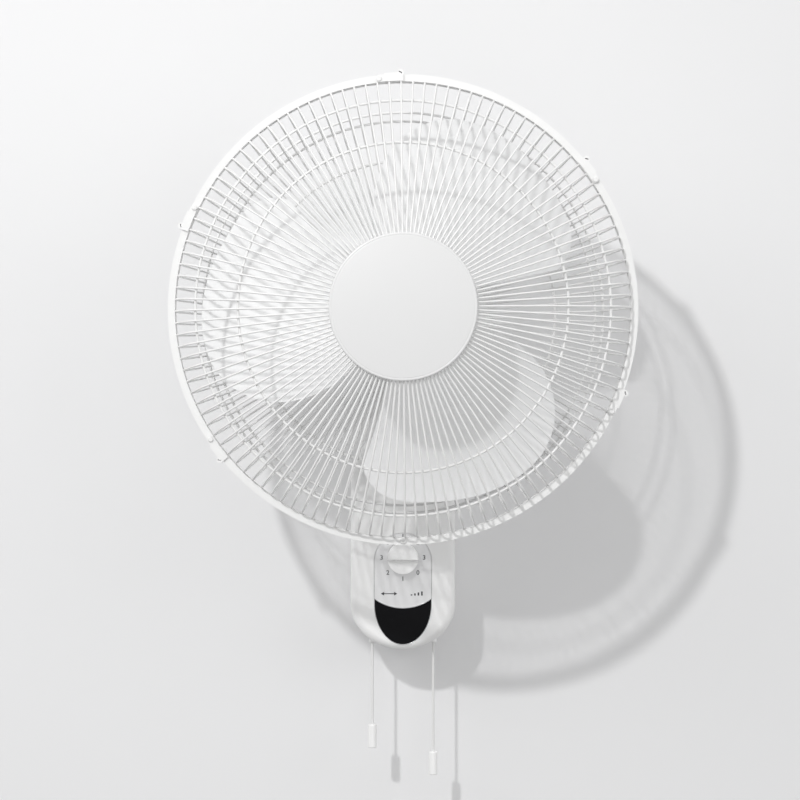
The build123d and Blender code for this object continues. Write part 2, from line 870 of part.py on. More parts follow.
def pull_cord(side, bell_top):
    """Straight cord from inside its switch down to its bell."""
    cord = disc(level(bell_top, cord_depth), cord_radius, cord_top - bell_top)
    return cord.moved(Location((side * cord_offset, 0, 0)))


def pull_bell(side, bell_top):
    """Straight grip with rounded ends and a shallow mouth at its foot."""
    foot = level(bell_top - bell_length, cord_depth)
    with BuildPart() as bell:
        with BuildSketch(foot):
            Circle(bell_radius)
        extrude(amount=bell_length)
        fillet(bell.edges().filter_by(GeomType.CIRCLE), bell_edge_round)
        with BuildSketch(foot):
            Circle(bell_mouth_radius)
        extrude(amount=bell_mouth_depth, mode=Mode.SUBTRACT)
    return bell.part.moved(Location((side * cord_offset, 0, 0)))


with BuildPart() as swing_cord:
    add(pull_cord(-1, swing_bell_top))
finish(swing_cord, "swing_cord")

with BuildPart() as swing_bell:
    add(pull_bell(-1, swing_bell_top))
finish(swing_bell, "swing_bell")

with BuildPart() as speed_cord:
    add(pull_cord(1, speed_bell_top))
finish(speed_cord, "speed_cord")

with BuildPart() as speed_bell:
    add(pull_bell(1, speed_bell_top))
finish(speed_bell, "speed_bell")

# ------------------------------------------------------ terminal block, capacitor
with BuildPart() as terminal_block:
    with BuildSketch(wall_plane(back_inner)):
        with Locations((0, terminal_height)):
            Rectangle(terminal_size[0], terminal_size[1])
    extrude(amount=terminal_size[2])
    pitch = terminal_size[0] / terminal_screw_count
    with BuildSketch(wall_plane(back_inner + terminal_size[2])):
        with Locations((0, terminal_height)):
            with GridLocations(pitch, 1, terminal_screw_count, 1):
                Circle(pitch * 0.3)
    extrude(amount=-terminal_size[2] / 2, mode=Mode.SUBTRACT)
finish(terminal_block, "terminal_block")

with BuildPart() as capacitor:
    with BuildSketch(wall_plane(back_inner)):
        with Locations((0, capacitor_height)):
            RectangleRounded(capacitor_size[0], capacitor_size[1], back_round)
    extrude(amount=capacitor_size[2])
finish(capacitor, "capacitor")

# ------------------------------------------------------------------ tilt hinge
with BuildPart() as hinge_bracket:
    with BuildSketch(Plane.YZ.offset(-ear_outer)):
        with Locations((-tilt_depth, tilt_height)):
            Circle(ear_radius)
        with Locations((-tilt_depth, (tilt_height + shelf_top) / 2)):
            Rectangle(2 * ear_radius, tilt_height - shelf_top)
    extrude(amount=2 * ear_outer)
    with BuildSketch(Plane.YZ.offset(-ear_gap)):
        with Locations((-tilt_depth, (tilt_height + ear_radius + ear_foot) / 2 + ear_thick)):
            Rectangle(2 * ear_radius, tilt_height + ear_radius - ear_foot + 2 * ear_thick)
    extrude(amount=2 * ear_gap, mode=Mode.SUBTRACT)
    with BuildSketch(Plane.YZ.offset(-ear_outer)):
        with Locations((-tilt_depth, tilt_height)):
            Circle(hinge_pin_radius + running_fit)
    extrude(amount=2 * ear_outer, mode=Mode.SUBTRACT)
    with BuildSketch(level(shelf_top, tilt_depth)):
        with Locations((0, -ear_radius / 2), (0, ear_radius / 2)):
            Circle(bracket_screw_radius + screw_fit)
    extrude(amount=2 * ear_thick, mode=Mode.SUBTRACT)
finish(hinge_bracket, "hinge_bracket")

pin_end = ear_outer + hinge_head_height + hinge_pin_tail
with BuildPart() as tilt_pin:
    with BuildSketch(Plane.YZ.offset(-ear_outer)):
        with Locations((-tilt_depth, tilt_height)):
            Circle(hinge_pin_radius)
    extrude(amount=ear_outer + pin_end)
    with BuildSketch(Plane.YZ.offset(-ear_outer)):
        with Locations((-tilt_depth, tilt_height)):
            RegularPolygon(hinge_head_radius, 6)
    extrude(amount=-hinge_head_height)
finish(tilt_pin, "tilt_pin")

with BuildPart() as tilt_nut:
    with BuildSketch(Plane.YZ.offset(ear_outer)):
        with Locations((-tilt_depth, tilt_height)):
            RegularPolygon(hinge_head_radius, 6)
            Circle(hinge_pin_radius + seat_fit, mode=Mode.SUBTRACT)
    extrude(amount=hinge_head_height)
finish(tilt_nut, "tilt_nut")

# ------------------------------------------------------------------------ neck
tongue_half = ear_gap - side_gap
web_front = swing_depth + column_radius
hub_top = arm_bottom - side_gap
neck_pin_top = link_bottom + link_thick + side_gap

with BuildPart() as neck_bracket:
    with BuildSketch(side_section.offset(-tongue_half)):
        with Locations((tilt_depth, tilt_height)):
            Circle(ear_radius - tongue_margin)
        with BuildLine():
            Polyline(
                (tilt_depth - web_foot, tilt_height + web_lean),
                (tilt_depth + web_foot, tilt_height - web_lean),
                (web_front, web_shoulder),
                (web_front, web_top),
                (swing_depth - column_radius, web_top),
                close=True,
            )
        make_face()
    extrude(amount=2 * tongue_half)
    with BuildSketch(level(web_shoulder, swing_depth)):
        Circle(column_radius)
    extrude(amount=flange_top - web_shoulder)
    with BuildSketch(level(flange_top, swing_depth)):
        Circle(flange_radius)
    extrude(amount=-flange_thick)
    with BuildSketch(level(flange_top, swing_depth)):
        Circle(hub_radius)
    extrude(amount=hub_top - flange_top)
    with BuildSketch(level(flange_top, swing_depth)):
        with Locations((crank_radius, 0)):
            Circle(crank_pin_radius)
    extrude(amount=neck_pin_top - flange_top)
    with BuildSketch(level(flange_top - pivot_seat_depth, swing_depth)):
        Circle(pivot_radius + seat_fit)
    extrude(amount=hub_top - flange_top + pivot_seat_depth, mode=Mode.SUBTRACT)
    with BuildSketch(Plane.YZ.offset(-tongue_half)):
        with Locations((-tilt_depth, tilt_height)):
            Circle(hinge_pin_radius + running_fit)
    extrude(amount=2 * tongue_half, mode=Mode.SUBTRACT)
finish(neck_bracket, "neck_bracket")


def neck_section(height, depth, width, length, corner, inset=0.0):
    """Rounded rectangle across the neck."""
    with BuildSketch(level(height, depth)) as outline:
        RectangleRounded(width - 2 * inset, length - 2 * inset, corner - inset)
    return outline.sketch


neck_top_width = 2 * (column_radius + side_gap + 1.8 * neck_cover_wall)
neck_top_corner = neck_top_width * 0.495

with BuildPart() as neck_cover:
    lower = (neck_cover_centre, neck_cover_width, neck_cover_depth, neck_corner)
    upper = (swing_depth, neck_top_width, neck_top_width, neck_top_corner)
    extrude(neck_section(neck_cover_bottom, *lower), amount=neck_cover_waist - neck_cover_bottom)
    loft([neck_section(neck_cover_waist, *lower), neck_section(neck_cover_top, *upper)])
    extrude(
        neck_section(neck_cover_bottom, *lower, inset=neck_cover_wall),
        amount=neck_cover_waist - neck_cover_bottom,
        mode=Mode.SUBTRACT,
    )
    loft(
        [
            neck_section(neck_cover_waist, *lower, inset=neck_cover_wall),
            neck_section(neck_cover_top - neck_cover_wall, *upper, inset=neck_cover_wall),
        ],
        mode=Mode.SUBTRACT,
    )
    with BuildSketch(level(neck_cover_waist, swing_depth)):
        Circle(column_radius + side_gap)
    extrude(amount=neck_cover_top - neck_cover_waist, mode=Mode.SUBTRACT)
finish(neck_cover, "neck_cover")

with BuildPart() as swing_pivot:
    with BuildSketch(level(flange_top - pivot_seat_depth, swing_depth)):
        Circle(pivot_radius)
    extrude(amount=pivot_boss_top + side_gap - flange_top + pivot_seat_depth)
    with BuildSketch(level(pivot_boss_top + side_gap, swing_depth)):
        Circle(pivot_head_radius)
    extrude(amount=pivot_head_height)
    chamfer(swing_pivot.edges().sort_by(Axis.Z)[-1], pivot_head_height / 4)
finish(swing_pivot, "swing_pivot")

# ---------------------------------------------------------------- swing drive
link_pin_bottom = flange_top + side_gap * 2

with BuildPart() as swing_crank:
    with BuildSketch(level(crank_bottom, crank_depth)):
        with Locations((crank_radius / 2, 0)):
            SlotCenterToCenter(crank_radius, 2 * link_half_width)
        Circle(link_half_width + crank_margin)
    extrude(amount=crank_thick)
    with BuildSketch(level(crank_bottom, crank_depth)):
        with Locations((crank_radius, 0)):
            Circle(crank_pin_radius)
    extrude(amount=link_pin_bottom - crank_bottom)
    with BuildSketch(level(crank_bottom + crank_thick, crank_depth)):
        Circle(crank_spindle_radius)
    extrude(amount=arm_top + spindle_reach - crank_bottom - crank_thick)
finish(swing_crank, "swing_crank")

link_length = swing_depth - crank_depth
with BuildPart() as swing_link:
    with BuildSketch(level(link_bottom, (swing_depth + crank_depth) / 2)):
        with Locations((crank_radius, 0)):
            SlotCenterToCenter(link_length, 2 * link_half_width, rotation=90)
        with Locations((crank_radius, -link_length / 2)):
            Circle(crank_pin_radius + side_gap, mode=Mode.SUBTRACT)
        with Locations((crank_radius, link_length / 2)):
            Circle(crank_pin_radius + running_fit, mode=Mode.SUBTRACT)
    extrude(amount=link_thick)
finish(swing_link, "swing_link")

with BuildPart() as swing_motor:
    with BuildSketch(level(arm_top, crank_depth)):
        Circle(swing_motor_radius)
    extrude(amount=swing_motor_height)
    fillet(swing_motor.edges().sort_by(Axis.Z)[-1], swing_motor_round)
    with BuildSketch(level(arm_top, crank_depth)):
        Circle(crank_spindle_radius + running_fit)
    extrude(amount=spindle_reach + spindle_end_gap, mode=Mode.SUBTRACT)
finish(swing_motor, "swing_motor")

bush_radius = pivot_radius + bush_wall
with BuildPart() as swing_bush:
    add(disc(
        level(arm_bottom, swing_depth),
        bush_radius - seat_fit,
        pivot_boss_length,
        pivot_radius + running_fit,
    ))
finish(swing_bush, "swing_bush")

# ----------------------------------------------------------------------- motor
def bolt_points(circle):
    """Four bolt places on a circle."""
    return [(circle * cos(radians(a)), circle * sin(radians(a))) for a in shield_bolt_angles]


with BuildPart() as rear_end_shield:
    revolve(profile([
        (shield_back - boss_length, bearing_radius + seat_fit),
        (shield_back - boss_length, bearing_boss),
        (shield_back, bearing_boss),
        (shield_back, stator_radius),
        (stator_back, stator_radius),
        (stator_back, shield_rim),
        (shield_back + shield_thick, shield_rim),
        (shield_back + shield_thick, bearing_radius + seat_fit),
    ]), axis=head_axis)
    with BuildSketch(level(arm_bottom, crank_depth)):
        Circle(arm_half_width)
        with Locations((0, -(shield_back - crank_depth) / 2)):
            Rectangle(2 * arm_half_width, shield_back - crank_depth)
    extrude(amount=arm_thick)
    with BuildSketch(level(arm_top, swing_depth)):
        Circle(pivot_boss_radius)
    extrude(amount=pivot_boss_top - arm_top)
    with BuildSketch(level(arm_bottom, swing_depth)):
        Circle(bush_radius)
    extrude(amount=pivot_boss_length, mode=Mode.SUBTRACT)
    with BuildSketch(level(arm_bottom, crank_depth)):
        Circle(crank_spindle_radius + side_gap)
    extrude(amount=arm_thick, mode=Mode.SUBTRACT)
    with BuildSketch(head_plane(shield_back)):
        with Locations(*bolt_points(motor_screw_circle)):
            Circle(motor_screw_radius + screw_fit)
    extrude(amount=stator_back - shield_back, mode=Mode.SUBTRACT)
finish(rear_end_shield, "rear_end_shield")

with BuildPart() as front_end_shield:
    revolve(profile([
        (stator_front, shield_rim),
        (stator_front, stator_radius),
        (shield_front, stator_radius),
        (shield_front, bearing_boss),
        (shield_front + boss_length, bearing_boss),
        (shield_front + boss_length, bearing_radius + seat_fit),
        (shield_front - shield_thick, bearing_radius + seat_fit),
        (shield_front - shield_thick, shield_rim),
    ]), axis=head_axis)
    with BuildSketch(head_plane(stator_front)):
        with Locations(*bolt_points(motor_screw_circle)):
            Circle(motor_screw_radius + screw_fit)
    extrude(amount=shield_front - stator_front, mode=Mode.SUBTRACT)
    with BuildSketch(head_plane(stator_front)):
        with Locations(*bolt_points(cover_screw_circle)):
            Circle(motor_screw_radius + screw_fit)
    extrude(amount=shield_front - stator_front, mode=Mode.SUBTRACT)
finish(front_end_shield, "front_end_shield")

with BuildPart() as motor_bearings:
    for seat, way in ((shield_back - boss_length, 1), (shield_front + boss_length, -1)):
        add(disc(head_plane(seat), bearing_radius, way * bearing_length, shaft_radius + running_fit))
finish(motor_bearings, "motor_bearings")

with BuildPart() as stator:
    with BuildSketch(head_plane(stator_back)):
        Circle(stator_radius)
        Circle(rotor_radius + air_gap, mode=Mode.SUBTRACT)
        with PolarLocations((slot_inner + slot_outer) / 2, slot_count):
            Rectangle(slot_outer - slot_inner, slot_width, mode=Mode.SUBTRACT)
        with PolarLocations((slot_inner + rotor_radius) / 2, slot_count):
            Rectangle(slot_inner - rotor_radius + 2 * air_gap, slot_width / 2, mode=Mode.SUBTRACT)
        with Locations(*bolt_points(motor_screw_circle)):
            Circle(motor_screw_radius + screw_fit, mode=Mode.SUBTRACT)
    extrude(amount=stator_length)
finish(stator, "stator")

with BuildPart() as windings:
    for start in (stator_back - winding_overhang, stator_front + side_gap):
        with BuildSketch(head_plane(start)):
            Circle(slot_outer - side_gap)
            Circle(slot_inner + side_gap, mode=Mode.SUBTRACT)
        extrude(amount=winding_overhang - side_gap)
    with BuildSketch(head_plane(stator_back - side_gap)):
        with PolarLocations((slot_inner + slot_outer) / 2, slot_count):
            Rectangle(slot_outer - slot_inner - 3 * side_gap, slot_width - side_gap)
    extrude(amount=stator_length + 2 * side_gap)
finish(windings, "windings")

cover_screw_length = cover_front - shield_front + shield_thick
with BuildPart() as motor_screws:
    add([
        pan_screw(
            seat_on_head(shield_front, place),
            motor_screw_radius,
            shield_front - shield_back,
            motor_screw_head,
            motor_screw_head_height,
        )
        for place in bolt_points(motor_screw_circle)
    ])
finish(motor_screws, "motor_screws")

with BuildPart() as cover_screws:
    add([
        pan_screw(
            seat_on_head(cover_front, place),
            motor_screw_radius,
            cover_screw_length,
            motor_screw_head,
            motor_screw_head_height,
        )
        for place in bolt_points(cover_screw_circle)
    ])
finish(cover_screws, "cover_screws")

crown_centre = cover_nose + dome_radius
dome_offset = cover_radius - dome_corner
dome_reach = ((dome_radius - dome_corner) ** 2 - dome_offset**2) ** 0.5
dome_angle = degrees(atan2(dome_offset, dome_reach))


def dome_profile(inset):
    """Half section of the motor's rear dome: a shallow crown, a rounded corner and a skirt."""
    front = cover_split - side_gap
    corner_centre = crown_centre - dome_reach
    with BuildSketch(head_section) as face:
        with BuildLine():
            CenterArc((crown_centre, 0), dome_radius - inset, 180 - dome_angle, dome_angle)
            CenterArc((corner_centre, dome_offset), dome_corner - inset, 90, 90 - dome_angle)
            Polyline(
                (cover_nose + inset, 0), (front, 0), (front, cover_radius - inset),
                (corner_centre, cover_radius - inset),
            )
        make_face()
    return face.sketch


with BuildPart() as motor_rear_cover:
    revolve(dome_profile(0), axis=head_axis)
    revolve(dome_profile(cover_wall), axis=head_axis, mode=Mode.SUBTRACT)
    revolve(profile([
        (cover_split - cover_lip, cover_radius - cover_wall - side_gap / 2),
        (cover_split - cover_lip, cover_radius - 2 * cover_wall),
        (cover_split + cover_lip, cover_radius - 2 * cover_wall),
        (cover_split + cover_lip, cover_radius - cover_wall - side_gap / 2),
    ]), axis=head_axis)
    revolve(profile([
        (cover_split - cover_lip, cover_radius - cover_wall),
        (cover_split - cover_lip, cover_radius - 2 * cover_wall),
        (cover_split - side_gap, cover_radius - 2 * cover_wall),
        (cover_split - side_gap, cover_radius - cover_wall),
    ]), axis=head_axis)
    with BuildSketch(level(flange_top - flange_thick - column_gap, swing_depth)):
        Circle(column_radius + column_gap)
        with Locations((0, -cover_radius / 2)):
            Rectangle(2 * (column_radius + column_gap), cover_radius)
    extrude(amount=-cover_radius, mode=Mode.SUBTRACT)
    with BuildSketch(head_plane(cover_nose)):
        with PolarLocations((vent_inner + vent_outer) / 2, vent_count):
            SlotOverall(vent_outer - vent_inner, vent_width)
    extrude(amount=vent_depth, mode=Mode.SUBTRACT)
finish(motor_rear_cover, "motor_rear_cover")

with BuildPart() as motor_front_cover:
    revolve(profile([
        (cover_split, cover_radius),
        (cover_front - 2 * cover_wall, cover_radius),
        (cover_front, cover_radius - 2 * cover_wall),
        (cover_front, collar_radius),
        (collar_front, collar_radius),
        (collar_front, collar_bore),
        (cover_front - cover_wall, collar_bore),
        (cover_front - cover_wall, cover_radius - 3 * cover_wall),
        (cover_front - 3 * cover_wall, cover_radius - cover_wall),
        (cover_split, cover_radius - cover_wall),
    ]), axis=head_axis)
    with BuildSketch(head_plane(shield_front)):
        with Locations(*bolt_points(cover_screw_circle)):
            Circle(motor_screw_head)
    extrude(amount=cover_front - cover_wall - shield_front)
    with BuildSketch(head_plane(shield_front)):
        with Locations(*bolt_points(cover_screw_circle)):
            Circle(motor_screw_radius + screw_fit)
    extrude(amount=cover_front - shield_front, mode=Mode.SUBTRACT)
finish(motor_front_cover, "motor_front_cover")

with BuildPart() as rotor:
    add(disc(head_plane(stator_back), rotor_radius, stator_length, shaft_radius + seat_fit))
    chamfer(rotor.edges().filter_by(GeomType.CIRCLE).group_by(SortBy.RADIUS)[-1], rotor_edge)
finish(rotor, "rotor")

with BuildPart() as motor_shaft:
    add(disc(head_plane(shaft_back), shaft_radius, shaft_front - shaft_back))
    chamfer(motor_shaft.edges().filter_by(GeomType.CIRCLE), shaft_end_chamfer)
    with BuildSketch(Plane.YZ.offset(-shaft_radius)):
        with Locations((-drive_depth, head_height)):
            Circle(drive_pin_radius + seat_fit)
    extrude(amount=2 * shaft_radius, mode=Mode.SUBTRACT)
finish(motor_shaft, "motor_shaft")

with BuildPart() as drive_pin:
    with BuildSketch(Plane.YZ.offset(-drive_pin_length / 2)):
        with Locations((-drive_depth, head_height)):
            Circle(drive_pin_radius)
    extrude(amount=drive_pin_length)
finish(drive_pin, "drive_pin")


# ----------------------------------------------------------------------- blade
def polar(radius, turn):
    """Point on the blade's outline, turned from its leading edge."""
    angle = radians(blade_start + turn)
    return radius * cos(angle), radius * sin(angle)


def blade_depth(turn):
    """Depth of the blade's sheet: a helical rise with some camber."""
    share = turn / blade_sweep
    return blade_lead_depth + blade_rise * share + blade_camber * sin(pi * share)


tip = blade_tip_radius
outer_edge = [
    (0.805 * tip, 0.0), (0.912 * tip, 7.0), (0.958 * tip, 22.0), (tip, 46.0), (0.972 * tip, 62.0),
    (0.84 * tip, 76.0), (0.6 * tip, 88.0), (0.42 * tip, 92.5), (0.25 * tip, 88.0),
]
blade_root = hub_outer - hub_wall

with BuildPart() as blade_sheet:
    for step in range(sheet_steps):
        turn = -sheet_margin + step * (blade_sweep + 2 * sheet_margin) / (sheet_steps - 1)
        along = radians(blade_start + turn)
        station = Plane(
            origin=(0, -blade_depth(turn), head_height),
            x_dir=(cos(along), 0, sin(along)),
            z_dir=(-sin(along), 0, cos(along)),
        )
        with BuildSketch(station):
            with Locations(((blade_root + tip) / 2 + sheet_margin, 0)):
                Rectangle(tip - blade_root + 2 * sheet_margin, blade_thick)
    loft()
    with BuildSketch(head_plane(hub_back - blade_rise)):
        with BuildLine():
            edge = Spline(*[polar(radius, turn) for radius, turn in outer_edge])
            Polyline(edge @ 1, polar(blade_root, 76.0), polar(blade_root, 12.0), edge @ 0)
        make_face()
    extrude(amount=4 * blade_rise, mode=Mode.INTERSECT)

blades = around_axis(blade_sheet.part, blade_count, 0)
with BuildPart() as fan_blade:
    revolve(profile([
        (hub_back, hub_outer - hub_wall),
        (hub_back, hub_outer),
        (hub_front - hub_wall, hub_outer),
        (hub_front, hub_outer - hub_wall),
        (hub_front, shaft_radius + seat_fit),
        (hub_back, shaft_radius + seat_fit),
        (hub_back, boss_radius),
        (hub_front - 2 * hub_wall, boss_radius),
        (hub_front - 2 * hub_wall, hub_outer - hub_wall),
    ]), axis=head_axis)
    add(blades)
    with BuildSketch(Plane.YZ.offset(-drive_pin_length / 2 - side_gap)):
        with Locations((-(drive_depth + hub_back) / 2, head_height)):
            Rectangle(drive_depth - hub_back, 2 * drive_pin_radius + 2 * side_gap)
        with Locations((-drive_depth, head_height)):
            Circle(drive_pin_radius + side_gap)
    extrude(amount=drive_pin_length + 2 * side_gap, mode=Mode.SUBTRACT)
finish(fan_blade, "fan_blade")

with BuildPart() as blade_nut:
    revolve(profile([
        (hub_front, shaft_radius + seat_fit),
        (hub_front, nut_radius),
        (hub_front + nut_length * 0.3, nut_radius),
        (hub_front + nut_length * 0.8, nut_radius * 0.7),
        (hub_front + nut_length, nut_radius * 0.35),
        (hub_front + nut_length, 0),
        (shaft_front + nut_end_gap, 0),
        (shaft_front + nut_end_gap, shaft_radius + seat_fit),
    ]), axis=head_axis)
    with BuildSketch(head_plane(hub_front)):
        with PolarLocations(nut_radius, nut_grip_count):
            Circle(nut_grip_radius)
    extrude(amount=nut_length * 0.3, mode=Mode.SUBTRACT)
finish(blade_nut, "blade_nut")

# ---------------------------------------------------------------------- guards
rim_wire_circle = rim_radius - rim_wall - side_gap - rim_wire_radius
spoke_circle = rim_wire_circle - rim_wire_radius - side_gap - spoke_radius
flange_inner = spoke_circle + spoke_radius + side_gap
front_rim_wire = rim_front - rim_flange - side_gap - rim_wire_radius
rear_rim_wire = rim_back + rim_flange + side_gap + rim_wire_radius
rim_wire_gap = rim_block_half + wire_end_gap


def run_point(start, end, radius):
    """Point on a straight run at a given radius."""
    share = (radius - start[1]) / (end[1] - start[1])
    return start[0] + share * (end[0] - start[0]), radius


front_split = run_point(front_bend, front_corner, rim_radius - front_joint_inset)
rear_split = run_point(rear_spoke_start, rear_corner, rim_radius - rear_joint_inset)
front_rim_end = (rim_depth + spoke_end_gap, spoke_circle)
rear_rim_end = (rim_depth - spoke_end_gap, spoke_circle)
front_spoke = wire([front_spoke_start, front_bend, front_split], [front_dish_round])
front_side_spoke = wire(
    [front_split, front_corner, (front_shoulder, spoke_circle), front_rim_end],
    [front_corner_round, shoulder_round],
)
rear_spoke = wire([rear_spoke_start, rear_split], None)
rear_side_spoke = wire(
    [rear_split, rear_corner, (rear_shoulder, spoke_circle), rear_rim_end],
    [rear_corner_round, shoulder_round],
)

with BuildPart() as front_guard_wires:
    add(around_axis(front_spoke, spoke_count, spoke_phase))
finish(front_guard_wires, "front_guard_wires")

with BuildPart() as front_guard_side_wires:
    add(around_axis(front_side_spoke, spoke_count, spoke_phase))
finish(front_guard_side_wires, "front_guard_side_wires")

with BuildPart() as rear_guard_wires:
    add(around_axis(rear_spoke, spoke_count, spoke_phase))
finish(rear_guard_wires, "rear_guard_wires")

with BuildPart() as rear_guard_side_wires:
    add(around_axis(rear_side_spoke, spoke_count, spoke_phase))
finish(rear_guard_side_wires, "rear_guard_side_wires")

with BuildPart() as front_guard_rings:
    for inset in front_brace_insets:
        brace = ring_beside((front_corner, front_bend), rim_radius - inset, -1)
        revolve(ring_profile(*brace, brace_radius), axis=head_axis)
    revolve(ring_profile(front_rim_wire, rim_wire_circle, rim_wire_radius), axis=head_axis)
    with BuildSketch(under(head_height - spoke_circle, rim_depth)):
        Rectangle(2 * rim_wire_gap, rim_width)
    extrude(amount=rim_width, mode=Mode.SUBTRACT)
finish(front_guard_rings, "front_guard_rings")

rear_side_end = (rear_shoulder, spoke_circle)
rear_braces = (
    ring_beside((rear_spoke_start, rear_corner), rim_radius - rear_brace_inset, 1),
    ring_round_bend(rear_spoke_start, rear_corner, rear_side_end, rear_corner_round),
    ring_beside((rear_corner, rear_side_end), rim_radius - rear_side_brace_inset, 1),
)
with BuildPart() as rear_guard_rings:
    for brace in rear_braces:
        revolve(ring_profile(*brace, brace_radius), axis=head_axis)
    revolve(ring_profile(rear_rim_wire, rim_wire_circle, rim_wire_radius), axis=head_axis)
    with BuildSketch(under(head_height - spoke_circle, rim_depth)):
        Rectangle(2 * rim_wire_gap, rim_width)
    extrude(amount=rim_width, mode=Mode.SUBTRACT)
finish(rear_guard_rings, "rear_guard_rings")

with BuildPart() as rear_guard_plate:
    with BuildSketch(head_plane(plate_back)):
        Circle(guard_plate_radius)
        Circle(collar_radius + side_gap, mode=Mode.SUBTRACT)
        with Locations(*bolt_points(cover_screw_circle)):
            Circle(motor_screw_head + 1, mode=Mode.SUBTRACT)
    extrude(amount=guard_plate_thick)
finish(rear_guard_plate, "rear_guard_plate")

nut_back = cover_front + motor_screw_head_height + side_gap
with BuildPart() as rear_guard_nut:
    with BuildSketch(head_plane(nut_back)):
        Circle(guard_nut_radius)
        Circle(collar_radius + seat_fit, mode=Mode.SUBTRACT)
    extrude(amount=guard_nut_length)
    with BuildSketch(head_plane(nut_back)):
        with PolarLocations(guard_nut_radius, guard_nut_grip_count):
            Circle(guard_nut_grip_radius)
    extrude(amount=guard_nut_length, mode=Mode.SUBTRACT)
finish(rear_guard_nut, "rear_guard_nut")

rim_screw_circle = (flange_inner + rim_radius - rim_wall) / 2 + side_gap
with BuildPart() as guard_ring:
    revolve(profile([
        (rim_back, flange_inner),
        (rim_back, rim_radius),
        (rim_front, rim_radius),
        (rim_front, flange_inner),
        (rim_front - rim_flange, flange_inner),
        (rim_front - rim_flange, rim_radius - rim_wall),
        (rim_back + rim_flange, rim_radius - rim_wall),
        (rim_back + rim_flange, flange_inner),
    ]), axis=head_axis)
    with BuildSketch(head_plane(rim_back, -90)):
        with Locations(((flange_inner + rim_radius - rim_wall / 2) / 2, 0)):
            Rectangle(rim_radius - rim_wall / 2 - flange_inner, 2 * rim_block_half)
    extrude(amount=rim_width)
    with BuildSketch(head_plane(rim_front, -90)):
        with Locations((rim_screw_circle, 0)):
            Circle(rim_screw_radius + screw_fit)
    extrude(amount=-rim_width, mode=Mode.SUBTRACT)
    for angle in clip_angles + (top_clip_angle,):
        with BuildSketch(head_plane(rim_front, angle)):
            with Locations((clip_pivot_radius, 0)):
                Circle(clip_pin_radius + seat_fit)
        extrude(amount=-rim_flange - side_gap, mode=Mode.SUBTRACT)
finish(guard_ring, "guard_ring")

with BuildPart() as rim_screw:
    add(pan_screw(
        seat_on_head(rim_front, (0, -rim_screw_circle)),
        rim_screw_radius,
        rim_width * 0.7,
        rim_screw_head,
        rim_screw_head_height,
    ))
finish(rim_screw, "rim_screw")


# ------------------------------------------------------------------------ clips
def sector(plane, inner, outer, start, end):
    """Piece of a ring between two angles, on a plane across the fan's axis."""
    with BuildSketch(plane) as face:
        with BuildLine():
            outside = CenterArc((0, 0), outer, start, end - start)
            inside = CenterArc((0, 0), inner, start, end - start)
            Line(inside @ 0, outside @ 0)
            Line(inside @ 1, outside @ 1)
        make_face()
    return face.sketch


def rim_clip(angle, way):
    """Latch on the rim: plate on the band's front, wall round its outside, hook behind it."""
    plate_depth = rim_front + side_gap
    inner = flange_inner + side_gap
    outer = rim_radius + side_gap + clip_wall
    wall_start = clip_span * 0.22
    hook_start = clip_span * 0.7
    with BuildPart() as clip:
        extrude(
            sector(head_plane(plate_depth, angle), inner, outer - clip_wall, 0, way * clip_span),
            amount=clip_thick,
        )
        with BuildSketch(head_plane(plate_depth, angle)):
            with Locations((clip_pivot_radius, 0)):
                Circle(clip_pivot_radius - inner)
        extrude(amount=clip_thick)
        extrude(
            sector(head_plane(rim_back - clip_thick - side_gap, angle), rim_radius + side_gap, outer,
                   way * wall_start, way * clip_span),
            amount=rim_width + 2 * side_gap + 2 * clip_thick,
        )
        extrude(
            sector(head_plane(rim_back - clip_thick - side_gap, angle), rim_wire_circle, outer,
                   way * hook_start, way * clip_span),
            amount=clip_thick,
        )
        hook_angle = angle + way * (clip_span - degrees(clip_hook_radius / rim_radius))
        with BuildSketch(head_plane(rim_depth, hook_angle)):
            with Locations((outer + clip_hook_radius * 0.1, 0)):
                Circle(clip_hook_radius)
            Circle(rim_radius + side_gap, mode=Mode.SUBTRACT)
        extrude(amount=rim_width / 2 + side_gap + clip_thick)
        with BuildSketch(head_plane(rim_depth, hook_angle)):
            with Locations((outer + clip_hook_radius * 0.1, 0)):
                Rectangle(clip_hook_radius * 0.4, clip_hook_radius * 1.1, rotation=35 * way)
        extrude(amount=rim_width, mode=Mode.SUBTRACT)
        with BuildSketch(head_plane(plate_depth, angle)):
            with Locations((clip_pivot_radius, 0)):
                Circle(clip_pin_radius + running_fit)
        extrude(amount=clip_thick, mode=Mode.SUBTRACT)
    return clip


clip_places = [(angle, 1) for angle in clip_angles] + [(top_clip_angle, -1)]
for number, (angle, way) in enumerate(clip_places, start=1):
    finish(rim_clip(angle, way), f"rim_clip_{number}")

rivet_tail = rim_front - rim_flange - side_gap / 2
rivet_seat = rim_front + clip_thick + 2 * side_gap
rivets = []
for angle, _ in clip_places:
    turn = radians(angle)
    seat = seat_on_head(rivet_seat, (clip_pivot_radius * cos(turn), clip_pivot_radius * sin(turn)))
    with BuildPart() as rivet:
        with BuildSketch(seat):
            Circle(clip_head_radius)
        extrude(amount=clip_head_height)
        fillet(rivet.edges().sort_by(Axis.Y)[0], clip_head_height * 0.6)
        with BuildSketch(seat):
            Circle(clip_pin_radius)
        extrude(amount=rivet_tail - rivet_seat)
    rivets.append(rivet.part)
with BuildPart() as clip_rivets:
    add(rivets)
finish(clip_rivets, "clip_rivets")

# -------------------------------------------------------------------- front cap
cap_dome_radius = (cap_radius**2 + cap_rise**2) / (2 * cap_rise)

